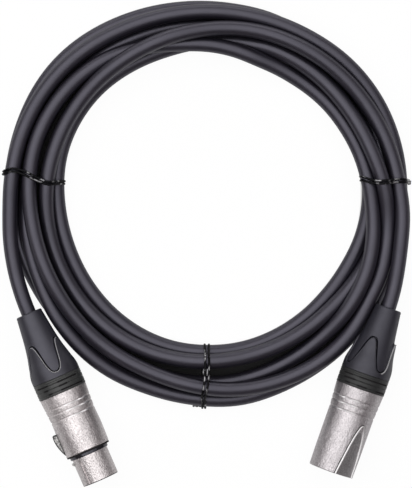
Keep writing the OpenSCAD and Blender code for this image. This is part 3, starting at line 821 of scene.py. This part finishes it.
def lobe_edge(side, angle):
    """Where the lobes' edge lies at these angles, and how much more two rows along the
    axis must differ there than their true distance."""
    swing = (LOBE_TROUGH - LOBE_CREST) / 2
    phase = LOBES * (angle - math.radians(CONNECTORS[side]["lobe"]))
    wave = np.cos(phase)
    from_end = 1 - np.abs(wave)
    s = (LOBE_TROUGH + LOBE_CREST) / 2 - swing * np.sign(wave) * (1 - from_end**LOBE_ROUND)
    steep = LOBES * swing * LOBE_ROUND * from_end ** (LOBE_ROUND - 1)
    slope = steep * np.sin(phase) / boot_radius(s)
    return s, np.sqrt(1 + slope**2)


def lobe_rise(s):
    """How far the lobes stand above the boot; most at their rear ends."""
    return LOBE_RISE + LOBE_REAR_RISE * (1 - smoothstep((s - LOBE_CREST) / 7))


def around(angle, rows):
    """Rows of (s, r), each a number or a list over the angles, as one outline array."""
    return np.array(
        [np.stack(np.broadcast_arrays(s, r, angle)[:2], axis=-1) for s, r in rows]
    )


def lobe_radius(s):
    return boot_radius(s) + lobe_rise(s)


def rows_between(first, last, count, radius):
    """Rows from one place to another, each at its radius there."""
    places = [first + (last - first) * t for t in np.linspace(0, 1, count)]
    return [(s, radius(s)) for s in places]


def add_part(name, shape, finish, node, key=False, body="root"):
    """A connector's piece, drawn along its axis, in place of a CAD node."""
    side = "male" if node.startswith("male") else "female"
    points, faces = shape
    piece = add_piece(name, (placed(points, side, key), faces), finish, node, body=body)
    if side == "male":
        male_pieces.append(piece)
    return piece


# The boot's lip, from its bore outwards and forwards
BOOT_LIP = [
    (0.35, BORE_R), (0.1, BORE_R + 0.3), (0.0, BORE_R + 0.6), (0.0, 4.9), (0.1, 5.35),
    (0.3, 5.6), (0.65, 5.72), (1.0, 5.74), (1.35, 5.72),
]
BOOT_START = 1.8
BOOT_INSIDE = [(10.0, CORE_R + 0.02), (10.0, BORE_R), (5.0, BORE_R)]


def make_boot(side):
    angle = angles(SIDES)
    edge, stretch = lobe_edge(side, angle)
    last = edge - (LOBE_GAP + 0.22) * stretch
    rows = BOOT_LIP + rows_between(BOOT_START, last, 64, boot_radius)
    top = boot_radius(edge)
    for away, drop in ((0.12, 0.05), (0.03, 0.18), (0.0, 0.5)):
        rows.append((edge - (LOBE_GAP + away) * stretch, top - drop))
    rows += [(edge - LOBE_GAP * stretch, core_radius(edge) + 0.02), *BOOT_INSIDE]
    shape = turned(around(angle, rows), SIDES)
    add_part(side + "_boot_rubber", shape, CONNECTORS[side]["blacks"][0], side + "_boot")


# The lines around the bushing's ring: (place along the axis, depth, half width)
RING_LINES = [
    (29.85, 0.10, 0.12), (30.6, 0.12, 0.10), (31.5, 0.22, 0.12), (33.3, 0.22, 0.12),
    (35.2, 0.18, 0.12),
]
DASH_ROWS = (31.5, 33.3, 35.2)
DASH_HALF_W = 0.3
DASH_DEPTH = 1.7
DASH_FADE = 2.5
# A dark sheet inside the ring, seen only at the bottoms of the deep dashes: painted shade
SHADE_SHEET_TOP = RING_R - 0.32
SHADE_SHEET_BASE = RING_R - 0.9
RING_STEP = 0.08
LOBES_END = RING_START - 0.05
BUSHING_INSIDE = [
    (LOBES_END, THREAD_R), (THREAD_END, THREAD_R), (THREAD_END, 7.1), (GRIP + 0.2, 7.1),
    (GRIP + 0.2, 5.05), (11.5, 5.05), (11.5, BORE_R), (10.05, BORE_R), (10.05, CORE_R),
]
RING_FRONT = [
    (GRIP - 0.2, RING_R - 0.02), (GRIP - 0.05, RING_R - 0.1), (GRIP, RING_R - 0.3),
    (GRIP, THREAD_R + 0.02),
]
SHADE_SHEET = [
    (RING_START + 0.3, SHADE_SHEET_BASE), (RING_START + 0.3, SHADE_SHEET_TOP), (GRIP - 0.4, SHADE_SHEET_TOP),
    (GRIP - 0.4, SHADE_SHEET_BASE),
]


def ring_dent(side, s, r, angle):
    """Lines around the bushing's ring, with long dashes cut deep along three of them."""
    dent = np.zeros_like(s)
    for at, depth, half in RING_LINES:
        dent = np.maximum(dent, depth * np.exp(-(((s - at) / half) ** 2)))
    turn = np.degrees(angle + math.pi / 2) % 180 - 90
    for at, dashes in zip(DASH_ROWS, CONNECTORS[side]["dashes"]):
        across = smoothstep((DASH_HALF_W + 0.05 - np.abs(s - at)) / 0.1)
        for start, end in dashes:
            along = smoothstep(np.minimum(turn - start, end - turn) / DASH_FADE)
            dent = np.maximum(dent, DASH_DEPTH * along * across)
    return np.where((r > RING_R - 0.4) & (s > RING_START - 0.2) & (s < GRIP), dent, 0)


def make_bushing(side):
    """The hard bushing: its lobes over the boot, its ring and its thread."""
    node = side + "_bushing"
    _, lobes_finish, ring_finish = CONNECTORS[side]["blacks"]
    angle = angles(SIDES)
    edge, stretch = lobe_edge(side, angle)
    top = boot_radius(edge)
    rows = [(edge, core_radius(edge)), (edge + 0.02, top - 0.5)]
    rise = lobe_rise(edge)
    for away, share in ((0.03, 0.0), (0.06, 0.45), (0.15, 0.78), (0.30, 0.95)):
        rows.append((edge + away * stretch, top + share * rise))
    rows += rows_between(edge + 0.5 * stretch, LOBES_END, 40, lobe_radius)
    lobes = turned(around(angle, rows + BUSHING_INSIDE), SIDES)
    add_part(node + "_lobes", lobes, lobes_finish, node)

    angle = angles(RING_SIDES)
    rows = [(RING_START, THREAD_R + 0.02), (RING_START, RING_R - 0.2)]
    rows += [(s, RING_R) for s in np.arange(RING_START + 0.1, GRIP - 0.2, RING_STEP)]
    outline = around(angle, rows + RING_FRONT)
    ring = turned(outline, RING_SIDES, lambda s, r, turn: ring_dent(side, s, r, turn))
    add_part(node + "_ring", ring, ring_finish, node)
    # The dark sheet under the dashes: painted shade
    shade_sheet = turned(around(angle, SHADE_SHEET), RING_SIDES)
    add_part(side + "_ring_shade_sheet", shade_sheet, "edge_shade", node)
    # The lobes' edge bead: a painted highlight
    add_part(side + "_lobe_line", lobe_line(side), "edge_shine", node)


def lobe_line(side):
    """A lighter bead along the lobes' edge: a painted highlight."""
    start, end = CONNECTORS[side]["shine"]
    angle = np.radians(np.linspace(start, end, 90))
    edge, stretch = lobe_edge(side, angle)
    s = edge + 0.2 * stretch
    return tube(on_axis(lobe_radius(s) - 0.05, angle, s), CONNECTORS[side]["bead"], 10)


def groove_edges(side):
    """Where each groove starts in the shell's rear, which narrows to its waist: (s, r)."""
    rear, waist = CONNECTORS[side]["rear"], CONNECTORS[side]["waist"]
    return [(GRIP + at, rear + (waist - rear) * at / WAIST_AT) for at in GROOVES]


def grooves(side):
    """Corners of the three grooves, whose front walls slant."""
    corners = []
    for s, r in groove_edges(side):
        corners += [(s - 0.05, r, 0.1), (s + 0.1, r - GROOVE_DEPTH, 0.05)]
        corners += [(s + 0.2, r - GROOVE_DEPTH, 0.05), (s + GROOVE_W, r, 0.12)]
    return corners


SHINE_HALF = 0.55
SHINE_FADE = 0.3
SHINE_SINK = 0.3


def make_groove_shines(side):
    """Bright metal on each groove's slanting front wall, sunk away from the lit side: a painted
    highlight.
    """
    middle = math.radians(CONNECTORS[side]["lit_side"])

    def sink(s, r, angle):
        away = np.abs((angle - middle + math.pi) % FULL - math.pi)
        return SHINE_SINK * smoothstep((away - SHINE_HALF) / SHINE_FADE)

    parts = []
    for s, r in groove_edges(side):
        low = r - GROOVE_DEPTH
        outline = [(s + 0.24, low - 0.1), (s + 0.24, low + 0.05)]
        outline += [(s + GROOVE_W - 0.04, r + 0.02), (s + GROOVE_W - 0.04, r - 0.12)]
        parts.append(turned(outline, SIDES, sink))
    add_part(side + "_groove_shines", join(*parts), "nickel_edge", side + "_shell")


SHELL_REAR = GRIP + 0.03
SEAT_R = THREAD_R + 0.07
SEAT_END = 45.3
FEMALE_FRONT = 62.8
FEMALE_TIP = 76.8
NOSE_R = 7.9
NOSE_BORE_R = 6.9
TIP_EDGE = 0.3
FEMALE_BORE_R = 8.4
FEMALE_BULGE = (53.5, 9.98, 2.5)
FEMALE_FRONT_R = 9.7
INSERT_SEAT = 61.3
PAD_START, PAD_END, PAD_W = 51.9, 61.9, 5.2
TOOTH_S, TOOTH_LEN, ARM_W = 66.0, 1.6, 4.0
TOOTH_END = TOOTH_S + TOOTH_LEN
CUT_ROOM = 0.3


def shell_rear(side):
    """Corners of a shell's rear, with its grooves."""
    return [(SHELL_REAR, SEAT_R), (SHELL_REAR, CONNECTORS[side]["rear"], 0.25), *grooves(side)]


def make_female_shell():
    edge = FEMALE_TIP - TIP_EDGE
    outline = rounded(
        shell_rear("female")
        + [(GRIP + WAIST_AT + 2, CONNECTORS["female"]["waist"], 1), FEMALE_BULGE]
        + [(FEMALE_FRONT, FEMALE_FRONT_R, 0.4), (FEMALE_FRONT, NOSE_R, 0.05)]
        + [(edge, NOSE_R - 0.02, 0.05), (edge, NOSE_R - 0.3)]
        + [(FEMALE_TIP - 0.02, NOSE_R - 0.3, 0.1), (FEMALE_TIP - 0.02, NOSE_BORE_R, 0.15)]
        + [(INSERT_SEAT, NOSE_BORE_R), (INSERT_SEAT, FEMALE_BORE_R)]
        + [(SEAT_END, FEMALE_BORE_R), (SEAT_END, SEAT_R)]
    )
    shape = turned(outline, SIDES)
    shell = add_part("female_shell_nickel", shape, "nickel_shell", "female_shell")
    half_pad, half_arm = PAD_W / 2 + 0.2, ARM_W / 2 + CUT_ROOM
    for shape in (
        block((-half_pad, 8, PAD_START - CUT_ROOM), (half_pad, 14, PAD_END + CUT_ROOM)),
        block((-half_arm, 5, TOOTH_S - CUT_ROOM), (half_arm, 9, TOOTH_END + CUT_ROOM)),
        keyway(),
    ):
        cut(shell, (placed(shape[0], "female", key=True), shape[1]))
    # A dark ring over the nose's last 0.3 mm: painted shade at the tip's edge
    outline = rounded(
        [(edge, NOSE_R - 0.35), (edge, NOSE_R - 0.04)]
        + [(FEMALE_TIP, NOSE_R - 0.16, 0.1), (FEMALE_TIP, NOSE_R - 0.35)],
        spacing=0.1,
    )
    shape = turned(outline, SIDES)
    add_part("female_tip_edge", shape, "edge_shade", "female_shell")
    make_groove_shines("female")


def block(low, high):
    """A box as (points, faces)."""
    points = list(itertools.product(*zip(low, high)))
    faces = [(0, 1, 3, 2), (4, 6, 7, 5), (0, 4, 5, 1), (2, 3, 7, 6), (0, 2, 6, 4), (1, 5, 7, 3)]
    return np.array(points, float), faces


KEYWAY_LEAN = 55


def keyway():
    """The groove along the nose, away from the key."""
    points, faces = block((-0.45, NOSE_R - 0.45, 66.5), (0.45, NOSE_R + 1, FEMALE_TIP + 1))
    right, up, along = points.T
    return np.column_stack([*leaned(right, up, KEYWAY_LEAN), along]), faces


def cut(piece, shape):
    """Takes a closed shape away from a piece."""
    cutter = make_object("cutter", shape)
    boolean = piece.modifiers.new("cut", "BOOLEAN")
    boolean.operation = "DIFFERENCE"
    boolean.solver = "EXACT"
    boolean.object = cutter
    graph = bpy.context.evaluated_depsgraph_get()
    result = bpy.data.meshes.new_from_object(piece.evaluated_get(graph))
    piece.modifiers.clear()
    piece.data = result
    bpy.data.objects.remove(cutter)
    work = bmesh.new()
    work.from_mesh(result)
    store(work, result)


# The sealing ring's matt lip against the shell, dark as painted shade, and its smooth band
SEAL_PARTS = {
    "lip": ("edge_shade", [(62.83, 8.4), (62.83, 9.6, 0.15), (63.5, 9.6, 0.2), (63.5, 8.4)]),
    "band": (
        "seal_rubber", [(62.83, 7.95), (62.83, 8.55), (64.75, 8.5, 0.3), (64.75, 7.95)]
    ),
}


def make_seal():
    for name, (finish, corners) in SEAL_PARTS.items():
        shape = turned(rounded(corners, spacing=0.3), SIDES)
        add_part("seal_ring_" + name, shape, finish, "seal_ring")


MALE_FRONT = 73.4
MOUTH_R = 8.0
MALE_FRONT_R = 9.6
MALE_BEND = 66.0
ARCH_LEN = 22.7
ARCH_DEEP = 1.36
ARCH_SUNK = 0.12
ARCH_CURVE = 15.6
ARCH_R = 9.78


def male_radius(s):
    """The shell's radius beside the arch."""
    taper = smoothstep((s - MALE_BEND) / (MALE_FRONT - MALE_BEND))
    return ARCH_R + (MALE_FRONT_R - ARCH_R) * taper


def arch_depth(s):
    """How deep the face over the key lies below the shell's surface, along its middle."""
    return ARCH_DEEP * (1 - (MALE_FRONT - s) / ARCH_LEN)


def arch_half(s, r):
    """Half the arch's width."""
    return np.sqrt(np.maximum(r**2 - (r - np.maximum(arch_depth(s), 0)) ** 2, 0))


def arch_height(s, r):
    """How far the face's middle lies from the axis: it is a little rounded across."""
    return r - arch_depth(s) + arch_half(s, r) ** 2 / (2 * ARCH_CURVE)


def arch_dent(s, r, angle):
    """The shallow face cut slantwise into the male shell over its key, which leaves an arch."""
    away = angle - math.radians(CONNECTORS["male"]["key"])
    up, aside = np.maximum(np.cos(away), 0.2), np.maximum(np.sin(away) ** 2, 1e-6)
    height = arch_height(s, r)
    face = (np.sqrt(up**2 + 2 * height * aside / ARCH_CURVE) - up) * ARCH_CURVE / aside
    cut_in = r - face
    inside = (r > 8.9) & (cut_in > 0) & (np.cos(away) > 0.5) & (s > MALE_FRONT - ARCH_LEN)
    return np.where(inside, cut_in + ARCH_SUNK * smoothstep(cut_in / 0.1), 0)


# The bright rim around the arch, a painted highlight, and the dark line outside it, a painted
# shadow: (name, how far outside the arch's edge, radius, rise over the shell, finish)
ARCH_LINES = (
    ("male_arch_rim", -0.22, 0.46, 0.0, "nickel_edge"),
    ("male_arch_line", 0.36, 0.20, -0.04, "edge_shade"),
)
ARCH_SIDEWAYS = (0.6, 0.77, 0)


def make_arch_lines():
    back = denser_ends(81)
    s = MALE_FRONT - 0.12 - (ARCH_LEN - 0.12) * (1 - back**2)
    r = male_radius(s)
    lean = np.arccos(1 - np.maximum(arch_depth(s), 0) / r) * np.sign(back)
    flank = np.minimum(np.abs(back) * 6, 1)
    for name, out, size, lift, finish in ARCH_LINES:
        turn = lean + np.sign(back) * out / r * flank
        turn += math.radians(CONNECTORS["male"]["key"])
        path = on_axis(r + lift, turn, s - out * (1 - flank))
        shape = tube(path, size, 10, up=ARCH_SIDEWAYS)
        add_part(name, shape, finish, "male_shell")


def slab(top, base, rows, columns):
    """The closed shape between two grids of points."""
    size = rows * columns
    faces = []
    for j in range(rows - 1):
        for i in range(columns - 1):
            a = j * columns + i
            b = size + a
            faces.append((a, a + 1, a + columns + 1, a + columns))
            faces.append((b, b + columns, b + columns + 1, b + 1))
    rim = list(range(columns)) + [j * columns + columns - 1 for j in range(1, rows)]
    rim += [(rows - 1) * columns + i for i in range(columns - 2, -1, -1)]
    rim += [j * columns for j in range(rows - 2, 0, -1)]
    for a, b in zip(rim, rim[1:] + rim[:1]):
        faces.append((a, size + a, size + b, b))
    return np.concatenate([top, base]), faces


def make_arch_flat():
    """The slanting face inside the arch, a thin plate of darker metal: painted shade."""
    share = np.linspace(0.03, 1, 40)
    s = MALE_FRONT - 0.15 - (ARCH_LEN - 0.15) * (1 - share)
    r = male_radius(s)
    height = arch_height(s, r) - ARCH_SUNK + 0.03
    half = np.maximum(arch_half(s, r) - 0.1, 0.05)
    across = np.linspace(-1, 1, 9)
    top = [
        (x * w, h - (x * w) ** 2 / (2 * ARCH_CURVE), at)
        for at, h, w in zip(s, height, half)
        for x in across
    ]
    base = [(x, h - 0.2, at) for x, h, at in top]
    shape = slab(top, base, len(s), len(across))
    add_part("male_arch_flat", shape, "nickel_shade", "male_shell", key=True)


def make_male_shell():
    outline = rounded(
        shell_rear("male")
        + [(MALE_BEND, 9.75, 2), (MALE_FRONT, MALE_FRONT_R, 0.4), (MALE_FRONT, 8.45, 0.1)]
        + [(72.0, MOUTH_R, 0.2), (SEAT_END, MOUTH_R), (SEAT_END, SEAT_R)],
        spacing=0.35,
    )
    shape = turned(outline, FINE_SIDES, arch_dent)
    add_part("male_shell_nickel", shape, "nickel_male", "male_shell")
    make_groove_shines("male")


# The latch's arm from its eye to its tooth, as (s, height)
ARM = [
    (48.5, 5.05), (TOOTH_END, 5.05), (TOOTH_END, 7.7), (TOOTH_S + 0.7, 8.6),
    (TOOTH_S, 8.6), (TOOTH_S, 6.25), (61.0, 6.25), (61.0, 9.0), (53.0, 9.0), (53.0, 6.25),
    (48.5, 6.25),
]
FLANK_BASE = 9.75


def make_latch():
    """The thumb pad, its bare flanks, and the arm with the tooth that catches."""
    share = np.linspace(0.06, 0.86, 17)
    top = [(PAD_START + (PAD_END - PAD_START) * t, pad_crown(t) - 0.62) for t in share]
    flank = [(top[0][0], FLANK_BASE), *top, (top[-1][0], FLANK_BASE)]
    for name, shape, finish in (
        ("latch_pad", latch_pad(), "latch_plastic"),
        ("latch_flank", prism(flank, PAD_W / 2 + 0.03), "latch_metal"),
        ("latch_arm", prism(ARM, ARM_W / 2), "latch_metal"),
    ):
        add_part(name, shape, finish, "latch_lever", key=True, body="latch")


def prism(profile, half_width):
    """A profile of (s, height) as wide as told to both sides."""
    count = len(profile)
    points = [(x, h, s) for x in (-half_width, half_width) for s, h in profile]
    faces = [(i, (i + 1) % count, count + (i + 1) % count, count + i) for i in range(count)]
    faces += [tuple(range(count)), tuple(range(2 * count - 1, count - 1, -1))]
    return np.array(points, float), faces


def pad_crown(share):
    """The pad's height over the axis, by the share of its length from its rear end."""
    return 9.62 + 2.2 * (1 - np.abs((share - 0.2) / 0.8) ** 1.9)


def latch_pad():
    """The pad: proud behind, level with the shell in front, rounded over its edges."""
    columns, rows, floor, soft = 33, 49, 8.95, 0.45
    x = denser_ends(columns) * PAD_W / 2
    s = PAD_START + (PAD_END - PAD_START) * (0.5 + 0.5 * denser_ends(rows))
    grid_x, grid_s = np.meshgrid(x, s)
    share = (grid_s - PAD_START) / (PAD_END - PAD_START)
    crown = pad_crown(share)
    height = np.sqrt(np.maximum(crown**2 - grid_x**2, 0))
    border = np.minimum(PAD_W / 2 - np.abs(grid_x), np.minimum(grid_s - s[0], s[-1] - grid_s))
    inset = np.clip(1 - border / soft, 0, 1)
    height -= soft * (1 - np.sqrt(1 - inset**2))
    height = np.maximum(height, floor + 0.05)
    top = np.stack([grid_x, height, grid_s], axis=-1).reshape(-1, 3)
    base = top.copy()
    base[:, 1] = floor
    return slab(top, base, rows, columns)


PIN_PLACES = {1: (-3.8, 0.9), 2: (3.8, 0.9), 3: (0.0, -3.9)}
PIN_PROFILE = [
    (42.5, 0), (42.5, 1.5, 0.1), (57.9, 1.5, 0.05), (57.95, 1.19, 0.05), (71.9, 1.19, 0.9),
    (71.9, 0),
]
PIN_SIDES = 40


def make_pins():
    """The male connector's pins, with domed tips."""
    for n, (right, up) in PIN_PLACES.items():
        points, faces = turned(rounded(PIN_PROFILE), PIN_SIDES)
        shape = points + np.array([right, up, 0]), faces
        add_part(f"male_pin_{n}_contact", shape, "contact_metal", f"male_pin_{n}", key=True)


# --- floor and light ---

FLOOR_Z = -0.0001
FLOOR_SIZE = 8.0
FLOOR_GLOW = 1.06
# Rings of floor in the coil's shade: (centre, radius of the ring's middle, half its width)
SHADED = [
    ((0.0010, 0.0187, 0), 0.0742, 0.0078),
    ((-0.0002, 0.0213, 0), 0.0742, 0.0078),
    ((0.0744, -0.0250, 0), 0, 0.0045),
]
SHADE_EDGE = 0.0006
FLOOR_COLOR = (0.55, 0.55, 0.55, 1)
SHADE_COLOR = (0.03, 0.03, 0.03, 1)
# The share of the floor's glow that each kind of ray sees
GLOW_RAYS = {"Is Camera Ray": 0.9, "Is Transmission Ray": 0.9, "Is Glossy Ray": 0.3}
WORLD_COLOR = (1, 0.9, 0.92, 1)
WORLD_STRENGTH = 0.17


def math_node(tree, operation, *values, **settings):
    settings["operation"] = operation
    return new_node(tree, "Math", enumerate(values), **settings).outputs["Value"]


def outside(tree, centre, reach, half):
    """0 on a ring of floor and 1 outside it."""
    place = new_node(tree, "TexCoord").outputs["Object"]
    distance = new_node(tree, "VectorMath", {0: place, 1: centre}, operation="DISTANCE")
    off = math_node(tree, "SUBTRACT", distance.outputs["Value"], reach)
    inputs = {"From Min": half - SHADE_EDGE, "From Max": half + SHADE_EDGE}
    inputs["Value"] = math_node(tree, "ABSOLUTE", off)
    return new_node(tree, "MapRange", inputs).outputs["Result"]


def floor_white():
    """White floor that glows where it is seen, and is dark in the coil's shade, so that it
    doesn't glow in the coil's gaps."""
    material = bpy.data.materials.new("floor_white")
    material.use_nodes = True
    tree = material.node_tree
    shader = tree.nodes["Principled BSDF"]
    shader.inputs["Roughness"].default_value = 0.8
    shader.inputs["Specular IOR Level"].default_value = 0.1
    open_floor = outside(tree, *SHADED[0])
    for ring in SHADED[1:]:
        open_floor = math_node(tree, "MULTIPLY", open_floor, outside(tree, *ring))
    inputs = {"Factor": open_floor, "A": SHADE_COLOR, "B": FLOOR_COLOR}
    paint = new_node(tree, "Mix", inputs, data_type="RGBA")
    tree.links.new(paint.outputs["Result"], shader.inputs["Base Color"])
    path = new_node(tree, "LightPath")
    seen = 0
    for ray, share in GLOW_RAYS.items():
        seen = math_node(tree, "MULTIPLY_ADD", path.outputs[ray], share, seen, use_clamp=True)
    share = math_node(tree, "MULTIPLY", seen, open_floor)
    glow = new_node(tree, "Emission", {"Color": (1, 1, 1, 1), "Strength": FLOOR_GLOW})
    blend(tree, share, shader.outputs["BSDF"], glow.outputs["Emission"], "Material Output")
    return material


def blend(tree, share, plain, bright, output):
    """Shows one shader, and another one with the given share."""
    mix = new_node(tree, "MixShader", {0: share, 1: plain, 2: bright})
    tree.links.new(mix.outputs["Shader"], tree.nodes[output].inputs["Surface"])


def make_floor():
    mesh = bpy.data.meshes.new("floor")
    half = FLOOR_SIZE / 2
    corners = [(-half, -half), (half, -half), (half, half), (-half, half)]
    mesh.from_pydata([(x, y, FLOOR_Z) for x, y in corners], [], [(0, 1, 2, 3)])
    mesh.materials.append(floor_white())
    floor = put("floor", mesh)


def make_world():
    world = bpy.data.worlds.new("studio")
    bpy.context.scene.world = world
    world.use_nodes = True
    tree = world.node_tree
    plain = tree.nodes["Background"]
    plain.inputs["Color"].default_value = WORLD_COLOR
    plain.inputs["Strength"].default_value = WORLD_STRENGTH
    white = new_node(tree, "Background", {"Color": (1, 1, 1, 1), "Strength": 1})
    seen = new_node(tree, "LightPath").outputs["Is Camera Ray"]
    plain, white = plain.outputs["Background"], white.outputs["Background"]
    blend(tree, seen, plain, white, "World Output")


# Softboxes towards the far side that overlap to the left, so that the light falls off to
# the right and to the near side: (name, x, height, width, watts)
SOFTBOXES = (
    ("softbox_wide", -0.4, 2.6, 7.0, 54),
    ("softbox_middle", -0.75, 2.55, 4.1, 30),
    ("softbox_left", -1.1, 2.5, 2.0, 11),
)
LIGHT_Y = 0.8
LIGHT_DEPTH = 4.2


def add_lamp(name, at, target, size, power):
    data = bpy.data.lights.new(name, "AREA")
    data.shape = "RECTANGLE"
    data.size, data.size_y = size
    data.energy = power
    lamp = put(name, data)
    lamp.location = at
    way = Vector(target) - Vector(at)
    lamp.rotation_euler = way.to_track_quat("-Z", "Y").to_euler()


def make_light():
    for name, x, z, width, power in SOFTBOXES:
        add_lamp(name, (x, LIGHT_Y, z), (x, LIGHT_Y, 0), (width, LIGHT_DEPTH), power)
    add_lamp("panel_left", (-3.2, 1.3, 1.9), (0, 0, 0), (2.0, 1.4), 8)
    add_lamp("panel_far", (-0.1, 3.4, 0.55), (0, 0, 0), (4.4, 1.0), 24)


# --- scene ---

make_camera()
clock, coil_r, coil_z = settle()
path = cable_path(clock, coil_r, coil_z)
shape = tube(path, CABLE_R, CABLE_SIDES)
cable = add_piece("cable", shape, "cable_jacket", "cable_coil", "female_lead", "male_lead")
for name in TIE_CLOCKS:
    make_tie(name, clock, coil_r, coil_z)

for node, kept in frame["nodes"].items():
    for place in range(len(kept.data.materials)):
        kept.data.materials[place] = FINISHES[SLOT_OF[node]]

for side in CONNECTORS:
    make_boot(side)
    make_bushing(side)
make_female_shell()
make_seal()
make_latch()
make_male_shell()
make_arch_flat()
make_arch_lines()
make_pins()
kept_male = ("insert", "ground_contact", "chuck", "core_1", "core_2", "core_3")
male_pieces += [frame["nodes"]["male_" + name] for name in kept_male]

make_floor()
make_world()
make_light()
bpy.context.scene.view_settings.view_transform = "Standard"
